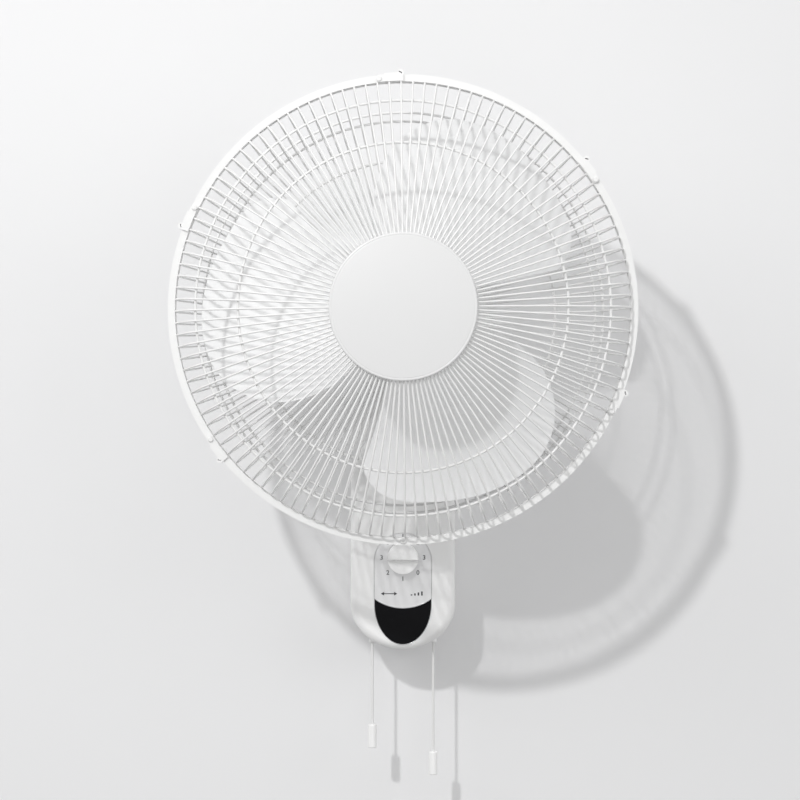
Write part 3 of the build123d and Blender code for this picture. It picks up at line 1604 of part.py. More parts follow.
with BuildPart() as front_cap:
    with BuildSketch(head_section):
        with BuildLine():
            Polyline(
                (cap_crown, 0), (cap_back, 0), (cap_back, cap_radius - cap_lip_wall),
                (cap_lip, cap_radius - cap_lip_wall), (cap_lip, cap_radius), (cap_edge, cap_radius),
            )
            RadiusArc((cap_edge, cap_radius), (cap_crown, 0), cap_dome_radius)
        make_face()
    revolve(axis=head_axis)
    with BuildSketch(head_plane(cap_back)):
        with PolarLocations(cap_post_circle, cap_post_count, 90):
            Circle(cap_post_radius)
    extrude(amount=cap_plate_front - cap_back)
finish(front_cap, "front_cap")

with BuildPart() as cap_back_plate:
    add(disc(head_plane(cap_plate_front), cap_plate_radius, -cap_plate_thick))
    with BuildSketch(head_plane(cap_plate_front)):
        with PolarLocations(cap_plate_radius / 3, 6):
            Circle(cap_post_radius)
    extrude(amount=-cap_plate_thick, mode=Mode.SUBTRACT)
finish(cap_back_plate, "cap_back_plate")
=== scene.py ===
"""Dresses the wall mounted fan with finishes, prints and trim, and sets its wall, lamps and camera.

Lengths are in metres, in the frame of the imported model: X to the viewer's right, Y into the wall,
Z up, with the wall at Y = 0. A depth is measured from the wall towards the viewer, so it is -Y.
"""
import json
from math import cos, pi, radians, sin, sqrt

import bmesh
import bpy
from mathutils import Matrix, Vector


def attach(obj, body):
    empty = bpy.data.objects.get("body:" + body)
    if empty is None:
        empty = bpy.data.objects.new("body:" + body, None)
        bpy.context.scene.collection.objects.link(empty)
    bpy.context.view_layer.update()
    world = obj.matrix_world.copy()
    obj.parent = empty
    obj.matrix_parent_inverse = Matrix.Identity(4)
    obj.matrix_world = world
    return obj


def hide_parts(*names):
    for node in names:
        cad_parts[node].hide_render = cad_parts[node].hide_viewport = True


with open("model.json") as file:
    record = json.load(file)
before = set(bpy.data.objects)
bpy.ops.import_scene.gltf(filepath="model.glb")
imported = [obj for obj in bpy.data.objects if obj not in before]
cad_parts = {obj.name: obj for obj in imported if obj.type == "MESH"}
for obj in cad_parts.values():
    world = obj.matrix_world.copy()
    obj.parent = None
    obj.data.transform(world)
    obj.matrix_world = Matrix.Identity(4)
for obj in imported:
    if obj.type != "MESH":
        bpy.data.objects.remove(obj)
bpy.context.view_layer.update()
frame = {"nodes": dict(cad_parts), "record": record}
nodes = frame["nodes"]

# Camera: its lens and sensor are in millimetres
camera_place = (-0.003, -2.262, 0.1185)
camera_lens = 93.8
camera_sensor = 36.0

# Lamps: name, place, power in watts, width
fill_size = 1.2
lamps = (
    ("key", (-0.908, -2.45, 1.426), 29.0, 0.11),
    ("left", (-1.5, -1.5, 1.2), 8.0, fill_size),
    ("right", (1.6, -1.6, 0.7), 6.0, fill_size),
    ("low", (0.2, -2.3, -0.6), 3.5, fill_size),
)
lamp_aim = (0.0, 0.0, 0.15)

# Room and wall
room_light_above = 0.84
room_light_below = 0.16
room_white = (1.0, 1.0, 1.0)
wall_colour = (0.84, 0.84, 0.845)
wall_reach = 4.0
wall_gap = 0.0003
wall_contact = 0.012

# Surface detail: noise scales are per metre, and the flat pointiness is that of a level face
scuff_finer = 9.0
scuff_relief = 0.35
least_roughness = 0.04
flat_pointiness = 0.5
band_wander_scale = 90.0
grain_depth = 0.0002
band_depth_share = 0.4
coat_roughness = 0.1
dust_colour = (0.62, 0.60, 0.57)

# Prints on the body's face: a digit's height is its share of the font's size
face_depth = 0.0882
knob_centre = (0.0, -0.046)
digits = "32103210"
digit_circle = 0.0222
digit_height = 0.0047
digit_height_share = 0.72
digit_skin = 0.00012
digit_bold = 0.00009
digit_curve_steps = 6
symbol_height = -0.0835
symbol_offset = 0.0144
symbol_skin = digit_skin / 2
symbol_sink = symbol_skin / 4
arrow_half = 0.0086
arrow_shaft_half = 0.00045
arrow_head_length = 0.0034
arrow_head_half = 0.0019
bar_count = 4
bar_width = 0.0017
bar_pitch = 0.0036
bar_foot = symbol_height - 0.0019
bar_first_height = 0.0012
bar_rise = 0.0010

# Display window, its bezel, and the painted shade in the gap round the fascia
window_half = 0.0298
window_side_end = -0.0888
window_sag = 0.0097
window_start = -0.0942
window_drop = 0.0423
window_front = 0.0889
window_top_steps = 24
window_bottom_steps = 60
bezel_radius = 0.00035
bezel_sides = 10
# Fascia's arch, and the dark bead that paints the shade in the gap round it
fascia_arch_radius = 0.0302
fascia_arch_height = -0.0503
fascia_arch_steps = 72
gap_shade_radius = 0.00022
gap_shade_depth = 0.0878
gap_shade_sides = 8

# Front cap: depths from the wall, radii from the fan's axis
head_height = 0.205
cap_crown = 0.3375
cap_edge = 0.3336
cap_back = 0.332
cap_lip = 0.3298
cap_radius = 0.0691
cap_lip_wall = 0.002
cap_lip_round = 0.0003
cap_inner_draft = 0.0002
cap_edge_round = 0.0014
cap_groove_inset = 0.0012
cap_groove_half = 0.0004
cap_groove_deep = 0.0002
cap_crown_steps = 12
cap_edge_steps = 6
cap_segments = 128
cap_sharp_angle = 30.0
cap_post_count = 3
cap_post_circle = 0.040
cap_post_radius = 0.0035
cap_post_root = cap_back + 0.0005
cap_post_end = 0.3289
cap_post_segments = 24
axis_radius = 1e-6

# Pull cords
cord_offset = 0.032
cord_depth = 0.066
cord_top = -0.056
cord_mouth = -0.084
cord_exit = -0.1359
swing_bell_top = -0.223
speed_bell_top = -0.2515
cord_thick = 0.0026
cord_round_steps = 6


# ------------------------------------------------------------------ shader groups
def new_group(name, inputs, outputs):
    """Empty shader group with named sockets."""
    group = bpy.data.node_groups.new(name, "ShaderNodeTree")
    kinds = {"colour": "NodeSocketColor", "value": "NodeSocketFloat", "vector": "NodeSocketVector"}
    for label, kind, default in inputs:
        socket = group.interface.new_socket(name=label, in_out="INPUT", socket_type=kinds[kind])
        socket.default_value = default
    for label, kind in outputs:
        group.interface.new_socket(name=label, in_out="OUTPUT", socket_type=kinds[kind])
    return group, group.nodes.new("NodeGroupInput"), group.nodes.new("NodeGroupOutput")


def feed(tree, socket, value):
    """Gives a socket a number or colour, or links another socket to it."""
    if isinstance(value, bpy.types.NodeSocket):
        tree.links.new(value, socket)
    else:
        socket.default_value = value


def calculate(tree, operation, *values):
    """Math node fed by sockets or numbers."""
    node = tree.nodes.new("ShaderNodeMath")
    node.operation = operation
    for socket, value in zip(node.inputs, values):
        feed(tree, socket, value)
    return node.outputs[0]


def mix(tree, factor, first, second):
    """Colour mix fed by sockets or colours."""
    node = tree.nodes.new("ShaderNodeMix")
    node.data_type = "RGBA"
    factor_place, first_place, second_place = 0, 6, 7
    feed(tree, node.inputs[factor_place], factor)
    feed(tree, node.inputs[first_place], first)
    feed(tree, node.inputs[second_place], second)
    return node.outputs[2]


def noise(tree, place, scale, detail, rough):
    """Noise texture value at a place."""
    node = tree.nodes.new("ShaderNodeTexNoise")
    node.inputs["Detail"].default_value = detail
    node.inputs["Roughness"].default_value = rough
    feed(tree, node.inputs["Vector"], place)
    feed(tree, node.inputs["Scale"], scale)
    return node.outputs["Fac"]


def make_grain():
    """Moulded or coated surface: slow colour drift, patchy gloss and a fine grain."""
    group, enter, leave = new_group(
        "surface_grain",
        [
            ("Colour", "colour", (0.8, 0.8, 0.8, 1)), ("Drift", "value", 0.03),
            ("Roughness", "value", 0.4), ("Spread", "value", 0.08), ("Patch", "value", 14.0),
            ("Grain", "value", 1800.0),
        ],
        [("Colour", "colour"), ("Roughness", "value"), ("Height", "value")],
    )
    place = group.nodes.new("ShaderNodeTexCoord").outputs["Object"]
    scuff_scale = calculate(group, "MULTIPLY", enter.outputs["Patch"], scuff_finer)
    drift = noise(group, place, enter.outputs["Patch"], detail=4.0, rough=0.55)
    scuff = noise(group, place, scuff_scale, detail=6.0, rough=0.65)
    fine = noise(group, place, enter.outputs["Grain"], detail=2.0, rough=0.5)
    signed = calculate(group, "MULTIPLY_ADD", drift, 2.0, -1.0)
    level = calculate(group, "MULTIPLY_ADD", signed, enter.outputs["Drift"], 1.0)
    shade = group.nodes.new("ShaderNodeVectorMath")
    shade.operation = "SCALE"
    group.links.new(enter.outputs["Colour"], shade.inputs[0])
    group.links.new(level, shade.inputs["Scale"])
    patchy = calculate(group, "MULTIPLY_ADD", scuff, 2.0, -1.0)
    middle = enter.outputs["Roughness"]
    rough = calculate(group, "MULTIPLY_ADD", patchy, enter.outputs["Spread"], middle)
    kept = calculate(group, "MAXIMUM", rough, least_roughness)
    height = calculate(group, "MULTIPLY_ADD", scuff, scuff_relief, fine)
    group.links.new(shade.outputs[0], leave.inputs["Colour"])
    group.links.new(kept, leave.inputs["Roughness"])
    group.links.new(height, leave.inputs["Height"])
    return group


def make_edge():
    """Mask of worn outer edges, broken up by noise."""
    group, enter, leave = new_group(
        "edge_wear", [("Reach", "value", 0.06), ("Breakup", "value", 120.0)], [("Mask", "value")]
    )
    pointed = group.nodes.new("ShaderNodeNewGeometry").outputs["Pointiness"]
    place = group.nodes.new("ShaderNodeTexCoord").outputs["Object"]
    raised = calculate(group, "SUBTRACT", pointed, flat_pointiness)
    sharp = calculate(group, "DIVIDE", raised, enter.outputs["Reach"])
    broken = noise(group, place, enter.outputs["Breakup"], detail=5.0, rough=0.6)
    clipped = group.nodes.new("ShaderNodeClamp")
    group.links.new(calculate(group, "MULTIPLY", sharp, broken), clipped.inputs["Value"])
    group.links.new(clipped.outputs[0], leave.inputs["Mask"])
    return group


def make_dust():
    """Mask of thin dust that settles on faces that look up."""
    group, enter, leave = new_group(
        "settled_dust", [("Amount", "value", 0.3), ("Scale", "value", 60.0)], [("Mask", "value")]
    )
    normal = group.nodes.new("ShaderNodeNewGeometry").outputs["Normal"]
    split = group.nodes.new("ShaderNodeSeparateXYZ")
    group.links.new(normal, split.inputs[0])
    place = group.nodes.new("ShaderNodeTexCoord").outputs["Object"]
    cloud = noise(group, place, enter.outputs["Scale"], detail=6.0, rough=0.7)
    upward = calculate(group, "MAXIMUM", split.outputs["Z"], 0.0)
    held = calculate(group, "MULTIPLY", calculate(group, "POWER", upward, 2.0), cloud)
    film = calculate(group, "MULTIPLY", held, enter.outputs["Amount"])
    group.links.new(film, leave.inputs["Mask"])
    return group


def make_bands():
    """Even bands along one direction, for laminations, wound wire and the cords' twist."""
    group, enter, leave = new_group(
        "fine_bands",
        [
            ("Direction", "vector", (0.0, 1.0, 0.0)), ("Pitch", "value", 0.0005),
            ("Wander", "value", 0.1),
        ],
        [("Height", "value")],
    )
    place = group.nodes.new("ShaderNodeTexCoord").outputs["Object"]
    dot = group.nodes.new("ShaderNodeVectorMath")
    dot.operation = "DOT_PRODUCT"
    group.links.new(place, dot.inputs[0])
    group.links.new(enter.outputs["Direction"], dot.inputs[1])
    turns = calculate(group, "DIVIDE", dot.outputs["Value"], enter.outputs["Pitch"])
    cloud = noise(group, place, band_wander_scale, detail=3.0, rough=0.5)
    shifted = calculate(group, "MULTIPLY_ADD", cloud, enter.outputs["Wander"], turns)
    wave = calculate(group, "SINE", calculate(group, "MULTIPLY", shifted, 2 * pi))
    group.links.new(calculate(group, "MULTIPLY_ADD", wave, 0.5, 0.5), leave.inputs["Height"])
    return group


grain_group = make_grain()
edge_group = make_edge()
dust_group = make_dust()
band_group = make_bands()


def place_group(tree, group, **values):
    """Group node in a material, with values on its inputs."""
    node = tree.nodes.new("ShaderNodeGroup")
    node.node_tree = group
    for label, value in values.items():
        node.inputs[label].default_value = value
    return node


# ---------------------------------------------------------------------- materials
def rgba(colour):
    """Colour with full alpha."""
    return (*colour, 1.0)


def surface(
    name, colour, roughness, *, drift=0.02, spread=0.05, patch=14.0, grain=1800.0, bump=0.05,
    metallic=0.0, coat=0.0, specular=0.5, wear=0.0, wear_colour=(1.0, 1.0, 1.0), dust=0.0,
    bands=None, band_bump=0.0, band_tint=0.0,
):
    """Material with a Principled shader of its own, dressed by the shared groups.

    Bands are given as their direction, pitch and wander.
    """
    material = bpy.data.materials.new(name)
    material.use_nodes = True
    tree = material.node_tree
    shader = tree.nodes["Principled BSDF"]
    shader.inputs["Metallic"].default_value = metallic
    shader.inputs["Coat Weight"].default_value = coat
    shader.inputs["Coat Roughness"].default_value = coat_roughness
    shader.inputs["Specular IOR Level"].default_value = specular
    base = place_group(
        tree, grain_group, Colour=rgba(colour), Drift=drift, Roughness=roughness, Spread=spread,
        Patch=patch, Grain=grain,
    )
    shade = base.outputs["Colour"]
    if bands:
        direction, pitch, wander = bands
        ribs = place_group(tree, band_group, Direction=direction, Pitch=pitch, Wander=wander)
        darker = tuple(channel * (1 - band_tint) for channel in colour)
        shade = mix(tree, ribs.outputs["Height"], rgba(darker), shade)
    if wear:
        edges = place_group(tree, edge_group)
        share = calculate(tree, "MULTIPLY", edges.outputs["Mask"], wear)
        shade = mix(tree, share, shade, rgba(wear_colour))
    if dust:
        film = place_group(tree, dust_group, Amount=dust)
        shade = mix(tree, film.outputs["Mask"], shade, rgba(dust_colour))
    tree.links.new(shade, shader.inputs["Base Color"])
    tree.links.new(base.outputs["Roughness"], shader.inputs["Roughness"])
    relief = tree.nodes.new("ShaderNodeBump")
    relief.inputs["Strength"].default_value = bump
    relief.inputs["Distance"].default_value = grain_depth
    tree.links.new(base.outputs["Height"], relief.inputs["Height"])
    if bands:
        ribbed = tree.nodes.new("ShaderNodeBump")
        ribbed.inputs["Strength"].default_value = band_bump
        ribbed.inputs["Distance"].default_value = pitch * band_depth_share
        tree.links.new(ribs.outputs["Height"], ribbed.inputs["Height"])
        tree.links.new(relief.outputs["Normal"], ribbed.inputs["Normal"])
        relief = ribbed
    tree.links.new(relief.outputs["Normal"], shader.inputs["Normal"])
    return material


slot_looks = {
    "body_plastic": dict(
        colour=(0.92, 0.92, 0.915), roughness=0.38, bump=0.06, dust=0.05, wear=0.08,
    ),
    "cover_plastic": dict(
        colour=(0.87, 0.87, 0.865), roughness=0.36, bump=0.05, dust=0.05, wear=0.08,
    ),
    "fascia": dict(
        colour=(0.80, 0.80, 0.805), roughness=0.36, drift=0.015, grain=6000.0, bump=0.10,
        metallic=0.1, coat=0.2,
    ),
    "window": dict(
        colour=(0.004, 0.004, 0.005), roughness=0.06, spread=0.02, bump=0.005, specular=0.05,
    ),
    "knob": dict(colour=(0.93, 0.93, 0.925), roughness=0.28, bump=0.03, wear=0.1, coat=0.15),
    "blade_plastic": dict(
        colour=(0.90, 0.902, 0.905), roughness=0.34, drift=0.015, bump=0.03, dust=0.05,
    ),
    "guard_wire": dict(
        colour=(0.82, 0.82, 0.815), roughness=0.33, grain=900.0, bump=0.12, dust=0.08,
    ),
    "steel": dict(
        colour=(0.58, 0.59, 0.60), roughness=0.38, drift=0.06, spread=0.12, patch=40.0,
        metallic=0.9, wear=0.3, wear_colour=(0.85, 0.85, 0.86),
    ),
    "screw_steel": dict(
        colour=(0.62, 0.62, 0.61), roughness=0.3, drift=0.08, spread=0.12, patch=90.0,
        metallic=0.95, wear=0.4, wear_colour=(0.9, 0.9, 0.9),
    ),
    "die_cast": dict(
        colour=(0.55, 0.56, 0.57), roughness=0.52, drift=0.07, spread=0.12, grain=1200.0,
        bump=0.35, metallic=0.85, wear=0.3, wear_colour=(0.8, 0.8, 0.82),
    ),
    "lamination": dict(
        colour=(0.22, 0.23, 0.25), roughness=0.45, drift=0.10, metallic=0.6,
        bands=((0.0, 1.0, 0.0), 0.0005, 0.05), band_bump=0.6, band_tint=0.5,
    ),
    "copper": dict(
        colour=(0.56, 0.22, 0.08), roughness=0.28, drift=0.12, metallic=0.9, coat=0.4,
        bands=((0.35, 0.2, 0.9), 0.0007, 0.8), band_bump=0.9, band_tint=0.55,
    ),
    "bronze": dict(
        colour=(0.50, 0.36, 0.17), roughness=0.4, drift=0.08, metallic=0.9, bump=0.2, wear=0.2,
    ),
    "dark_plastic": dict(
        colour=(0.035, 0.035, 0.037), roughness=0.45, drift=0.1, bump=0.12, dust=0.06,
    ),
    "switch_plastic": dict(
        colour=(0.66, 0.66, 0.60), roughness=0.45, drift=0.04, bump=0.08, dust=0.05,
    ),
    "grommet": dict(
        colour=(0.03, 0.03, 0.03), roughness=0.7, drift=0.15, bump=0.2, dust=0.08, specular=0.3,
    ),
    "cord": dict(
        colour=(0.86, 0.86, 0.855), roughness=0.7, bump=0.1, specular=0.3,
        bands=((0.55, 0.0, 0.83), 0.0009, 0.0), band_bump=0.5, band_tint=0.08,
    ),
}
finishes = {slot: surface(slot, **look) for slot, look in slot_looks.items()}
cap_finish = surface("cap_finish", (0.76, 0.76, 0.76), 0.34, drift=0.012, bump=0.03, dust=0.03)
painted_head = surface("painted_head", (0.84, 0.84, 0.835), 0.4, drift=0.03, bump=0.08, wear=0.15)
# Dark colour that paints the shade in the gap round the fascia
gap_shade_finish = surface("gap_shade_finish", (0.16, 0.16, 0.165), 0.8, drift=0.05, bump=0.1, specular=0.2)
ink = surface("ink", (0.055, 0.055, 0.06), 0.5, drift=0.1, grain=4000.0)
bright_edge = surface("bright_edge", (0.80, 0.80, 0.81), 0.18, drift=0.03, metallic=0.6, bump=0.02)


def dress_nodes():
    """Gives each CAD node the finish of its slot, and the small painted heads their own."""
    for entry in frame["record"]["subparts"]:
        node = nodes[entry["node"]]
        node.data.materials.clear()
        node.data.materials.append(finishes[entry["material_slot"]])
    for name in ("clip_rivets", "rim_screw"):
        nodes[name].data.materials[0] = painted_head


# ------------------------------------------------------------------------- pieces
def new_object(name, data):
    """Object in the scene that shows a mesh, curve, lamp or camera."""
    thing = bpy.data.objects.new(name, data)
    bpy.context.scene.collection.objects.link(thing)
    return thing


def add_piece(name, mesh, body, material):
    """Object from a mesh that rides on a body, with the finish it is given."""
    piece = new_object(name, mesh)
    mesh.materials.clear()
    mesh.materials.append(material)
    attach(piece, body)
    return piece


def mesh_of(form, name):
    """Mesh from a bmesh, which it frees."""
    mesh = bpy.data.meshes.new(name)
    form.to_mesh(mesh)
    form.free()
    return mesh


def printed(form, outline):
    """Adds a flat symbol to a bmesh, sunk a little in the fascia; its outline is in X and Z."""
    front = [form.verts.new((x, -face_depth - symbol_skin, z)) for x, z in outline]
    back = [form.verts.new((x, -face_depth + symbol_sink, z)) for x, z in outline]
    form.faces.new(front)
    form.faces.new(list(reversed(back)))
    for index, corner in enumerate(front):
        follow = (index + 1) % len(front)
        form.faces.new((corner, back[index], back[follow], front[follow]))


def dial_digits():
    """Plain numbers round the knob, printed on the fascia."""
    joined = bmesh.new()
    for step, digit in enumerate(digits):
        angle = radians(360 / len(digits) * step)
        text = bpy.data.curves.new("digit", "FONT")
        text.body = digit
        text.align_x = "CENTER"
        text.align_y = "CENTER"
        text.size = digit_height / digit_height_share
        text.extrude = digit_skin / 2
        text.offset = digit_bold
        text.resolution_u = digit_curve_steps
        holder = new_object("digit", text)
        bpy.context.view_layer.update()
        depsgraph = bpy.context.evaluated_depsgraph_get()
        mesh = bpy.data.meshes.new_from_object(holder.evaluated_get(depsgraph))
        across = knob_centre[0] + digit_circle * cos(angle)
        height = knob_centre[1] + digit_circle * sin(angle)
        spot = Vector((across, -face_depth, height))
        mesh.transform(Matrix.Translation(spot) @ Matrix.Rotation(pi / 2, 4, "X"))
        joined.from_mesh(mesh)
        bpy.data.objects.remove(holder)
    add_piece("dial_numbers", mesh_of(joined, "dial_numbers"), "base", ink)


def swing_symbol():
    """Double arrow for the swing cord."""
    form = bmesh.new()
    left = -symbol_offset - arrow_half
    right = -symbol_offset + arrow_half
    left_neck = left + arrow_head_length
    right_neck = right - arrow_head_length
    z = symbol_height
    printed(form, [
        (left, z), (left_neck, z - arrow_head_half), (left_neck, z - arrow_shaft_half),
        (right_neck, z - arrow_shaft_half), (right_neck, z - arrow_head_half), (right, z),
        (right_neck, z + arrow_head_half), (right_neck, z + arrow_shaft_half),
        (left_neck, z + arrow_shaft_half), (left_neck, z + arrow_head_half),
    ])
    add_piece("swing_symbol", mesh_of(form, "swing_symbol"), "base", ink)


def speed_symbol():
    """Row of rising bars for the speed cord."""
    form = bmesh.new()
    for step in range(bar_count):
        left = symbol_offset + (step - (bar_count - 1) / 2) * bar_pitch - bar_width / 2
        right = left + bar_width
        top = bar_foot + bar_first_height + bar_rise * step
        printed(form, [(left, bar_foot), (right, bar_foot), (right, top), (left, top)])
    add_piece("speed_symbol", mesh_of(form, "speed_symbol"), "base", ink)


def window_top():
    """Points along the display window's sagging top edge, from left to right."""
    sag_radius = (window_half**2 + window_sag**2) / (2 * window_sag)
    points = []
    for step in range(window_top_steps + 1):
        x = -window_half + 2 * window_half * step / window_top_steps
        dip = sqrt(sag_radius**2 - x**2) - (sag_radius - window_sag)
        points.append((x, window_side_end - dip))
    return points


def window_outline():
    """Points round the display window, from its top left corner."""
    bottom = []
    for step in range(window_bottom_steps + 1):
        angle = -pi * step / window_bottom_steps
        bottom.append((window_half * cos(angle), window_start + window_drop * sin(angle)))
    return window_top() + bottom


def swept_loop(name, points, depth, radius, sides):
    """Mesh of a round bead along a closed outline that faces the viewer."""
    form = bmesh.new()
    rings = []
    count = len(points)
    for index in range(count):
        before, here, after = (Vector(points[(index + shift) % count]) for shift in (-1, 0, 1))
        along = (after - before).normalized()
        out = Vector((along.y, -along.x))
        ring = []
        for side in range(sides):
            turn = 2 * pi * side / sides
            flat = here + out * (radius * cos(turn))
            ring.append(form.verts.new((flat.x, -depth + radius * sin(turn), flat.y)))
        rings.append(ring)
    for index, ring in enumerate(rings):
        follow = rings[(index + 1) % count]
        for side in range(sides):
            other = (side + 1) % sides
            form.faces.new((ring[side], ring[other], follow[other], follow[side]))
    for face in form.faces:
        face.smooth = True
    return mesh_of(form, name)


def window_bezel():
    """Bright bead round the display window."""
    depth = window_front - bezel_radius
    mesh = swept_loop("window_bezel", window_outline(), depth, bezel_radius, bezel_sides)
    add_piece("window_bezel", mesh, "base", bright_edge)


def fascia_gap_shade():
    """Painted shade: a dark bead in the gap round the fascia, along its arch, sides and the window's
    top.
    """
    radius = fascia_arch_radius + gap_shade_radius
    arch = []
    for step in range(fascia_arch_steps + 1):
        angle = pi * step / fascia_arch_steps
        arch.append((radius * cos(angle), fascia_arch_height + radius * sin(angle)))
    mesh = swept_loop("fascia_gap_shade", arch + window_top(), gap_shade_depth, gap_shade_radius, gap_shade_sides)
    add_piece("fascia_gap_shade", mesh, "base", gap_shade_finish)


def turned(form, outline, segments, centre):
    """Adds a shape turned about an axis across the wall; its closed outline is (depth, radius)."""
    rings = []
    for depth, radius in outline:
        if radius < axis_radius:
            rings.append([form.verts.new((centre[0], -depth, centre[1]))])
            continue
        ring = []
        for step in range(segments):
            angle = 2 * pi * step / segments
            across = centre[0] + radius * cos(angle)
            height = centre[1] + radius * sin(angle)
            ring.append(form.verts.new((across, -depth, height)))
        rings.append(ring)
    for index, ring in enumerate(rings):
        follow = rings[(index + 1) % len(rings)]
        for step in range(segments):
            other = (step + 1) % segments
            corners = []
            for source, place in ((ring, step), (ring, other), (follow, other), (follow, step)):
                corner = source[place % len(source)]
                if corner not in corners:
                    corners.append(corner)
            if len(corners) > 2:
                form.faces.new(corners)


def cap_outline():
    """Half section of the front cap, from its crown out to its lip and back to the axis."""
    rise = cap_crown - cap_edge
    dome = (cap_radius**2 + rise**2) / (2 * rise)
    shoulder = cap_radius - cap_edge_round
    groove = shoulder - cap_groove_inset
    smooth_reach = groove - 3 * cap_groove_half
    points = []
    for step in range(cap_crown_steps + 1):
        radius = smooth_reach * step / cap_crown_steps
        points.append((cap_crown - dome + sqrt(dome**2 - radius**2), radius))
    top = cap_crown - dome + sqrt(dome**2 - shoulder**2)
    slope = cap_radius / dome
    for radius, drop in (
        (groove - 2 * cap_groove_half, 0.0), (groove - cap_groove_half, 0.0),
        (groove, cap_groove_deep), (groove + cap_groove_half, 0.0), (shoulder, 0.0),
    ):
        points.append((top + (shoulder - radius) * slope - drop, radius))
    for step in range(1, cap_edge_steps + 1):
        angle = pi / 2 * step / cap_edge_steps
        depth = top - cap_edge_round * (1 - cos(angle))
        points.append((depth, shoulder + cap_edge_round * sin(angle)))
    return points + [
        (cap_lip + cap_lip_round, cap_radius), (cap_lip, cap_radius - cap_lip_round),
        (cap_lip, cap_radius - cap_lip_wall),
        (cap_back, cap_radius - cap_lip_wall - cap_inner_draft), (cap_back, 0.0),
    ]


def shade_by_angle(form, limit):
    """Smooth shading, kept sharp at edges that turn more than a limit."""
    for face in form.faces:
        face.smooth = True
    for edge in form.edges:
        edge.smooth = edge.is_manifold and edge.calc_face_angle(0.0) < limit


def front_cap():
    """Smooth turned cap over the wires' ends, with its three posts."""
    form = bmesh.new()
    turned(form, cap_outline(), cap_segments, (0.0, head_height))
    post = [
        (cap_post_root, 0.0), (cap_post_root, cap_post_radius), (cap_post_end, cap_post_radius),
        (cap_post_end, 0.0),
    ]
    for step in range(cap_post_count):
        angle = pi / 2 + 2 * pi * step / cap_post_count
        spot = (cap_post_circle * cos(angle), head_height + cap_post_circle * sin(angle))
        turned(form, post, cap_post_segments, spot)
    bmesh.ops.recalc_face_normals(form, faces=form.faces)
    shade_by_angle(form, radians(cap_sharp_angle))
    mesh = mesh_of(form, "front_cap_turned")
    piece = add_piece("front_cap_turned", mesh, "head", cap_finish)
    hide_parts("front_cap")


def pull_cord(name, side, bell_top, node, body):
    """Cord from its switch down to its bell, as one smooth line."""
    curve = bpy.data.curves.new(name, "CURVE")
    curve.dimensions = "3D"
    spline = curve.splines.new("NURBS")
    route = [cord_top, cord_mouth, cord_exit, (cord_exit + bell_top) / 2, bell_top]
    spline.points.add(len(route) - 1)
    for point, height in zip(spline.points, route):
        point.co = (side * cord_offset, -cord_depth, height, 1.0)
    spline.order_u = 3
    spline.use_endpoint_u = True
    curve.bevel_depth = cord_thick / 2
    curve.bevel_resolution = cord_round_steps
    curve.use_fill_caps = True
    curve.materials.append(finishes["cord"])
    piece = new_object(name, curve)
    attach(piece, body)
    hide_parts(node)


# -------------------------------------------------------------------------- stage
def wall_material():
    """Plain painted wall, clear from behind and to short rays from what lies flat against it."""
    material = surface("wall_paint", wall_colour, 0.85, drift=0.01, patch=3.0, grain=700.0, bump=0.04)
    tree = material.node_tree
    clear = tree.nodes.new("ShaderNodeBsdfTransparent")
    choose = tree.nodes.new("ShaderNodeMixShader")
    behind = tree.nodes.new("ShaderNodeNewGeometry").outputs["Backfacing"]
    paths = tree.nodes.new("ShaderNodeLightPath")
    close = calculate(tree, "LESS_THAN", paths.outputs["Ray Length"], wall_contact)
    unseen = calculate(tree, "SUBTRACT", 1.0, paths.outputs["Is Camera Ray"])
    touching = calculate(tree, "MULTIPLY", close, unseen)
    tree.links.new(calculate(tree, "MAXIMUM", behind, touching), choose.inputs[0])
    tree.links.new(tree.nodes["Principled BSDF"].outputs[0], choose.inputs[1])
    tree.links.new(clear.outputs[0], choose.inputs[2])
    tree.links.new(choose.outputs[0], tree.nodes["Material Output"].inputs["Surface"])
    return material


def add_wall():
    """Wall behind the fan, facing the viewer."""
    form = bmesh.new()
    corners = [
        (-wall_reach, -wall_reach), (wall_reach, -wall_reach),
        (wall_reach, wall_reach), (-wall_reach, wall_reach),
    ]
    form.faces.new([form.verts.new((x, wall_gap, z)) for x, z in corners])
    mesh = mesh_of(form, "wall")
    mesh.materials.append(wall_material())
    wall = new_object("wall", mesh)


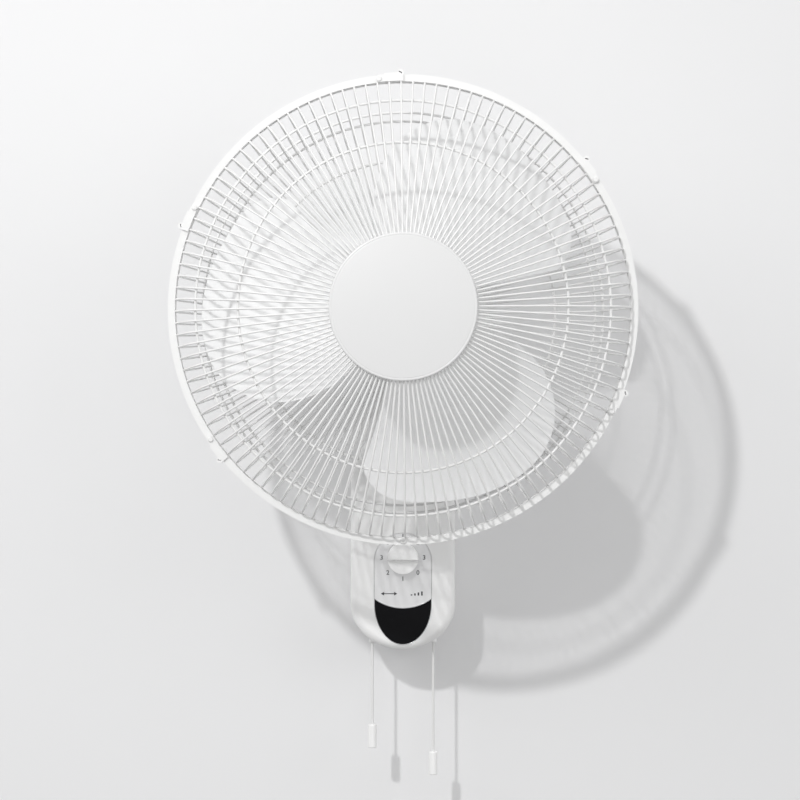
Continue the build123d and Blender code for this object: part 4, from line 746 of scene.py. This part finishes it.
def add_lamp(name, place, power, size):
    """Round area lamp aimed at the middle of the fan."""
    lamp = bpy.data.lights.new(name, "AREA")
    lamp.shape = "DISK"
    lamp.size = size
    lamp.energy = power
    holder = new_object(name, lamp)
    holder.location = place
    aim = Vector(lamp_aim) - Vector(place)
    holder.rotation_euler = aim.to_track_quat("-Z", "Y").to_euler()


def add_world():
    """Room light that falls off towards the floor, and white where the camera sees past the wall."""
    world = bpy.data.worlds.new("studio")
    bpy.context.scene.world = world
    world.use_nodes = True
    tree = world.node_tree
    light = tree.nodes["Background"]
    light.inputs["Color"].default_value = rgba(room_white)
    seen = tree.nodes.new("ShaderNodeBackground")
    seen.inputs["Color"].default_value = rgba(room_white)
    seen.inputs["Strength"].default_value = 1.0
    direction = tree.nodes.new("ShaderNodeTexCoord").outputs["Generated"]
    split = tree.nodes.new("ShaderNodeSeparateXYZ")
    tree.links.new(direction, split.inputs[0])
    slope = (room_light_above - room_light_below) / 2
    middle = (room_light_above + room_light_below) / 2
    strength = calculate(tree, "MULTIPLY_ADD", split.outputs["Z"], slope, middle)
    tree.links.new(strength, light.inputs["Strength"])
    paths = tree.nodes.new("ShaderNodeLightPath")
    choose = tree.nodes.new("ShaderNodeMixShader")
    tree.links.new(paths.outputs["Is Camera Ray"], choose.inputs[0])
    tree.links.new(light.outputs[0], choose.inputs[1])
    tree.links.new(seen.outputs[0], choose.inputs[2])
    tree.links.new(choose.outputs[0], tree.nodes["World Output"].inputs["Surface"])


def add_camera():
    """Camera at the photograph's height and distance, square to the wall."""
    lens = bpy.data.cameras.new("camera")
    lens.lens = camera_lens
    lens.sensor_width = camera_sensor
    camera = new_object("camera", lens)
    camera.location = camera_place
    camera.rotation_euler = (pi / 2, 0.0, 0.0)
    bpy.context.scene.camera = camera


add_camera()
dress_nodes()
dial_digits()
swing_symbol()
speed_symbol()
window_bezel()
fascia_gap_shade()
front_cap()
pull_cord("swing_cord_line", -1, swing_bell_top, "swing_cord", "swing_pull")
pull_cord("speed_cord_line", 1, speed_bell_top, "speed_cord", "speed_pull")
add_wall()
for name, place, power, size in lamps:
    add_lamp(name, place, power, size)
add_world()
bpy.context.scene.view_settings.view_transform = "Standard"
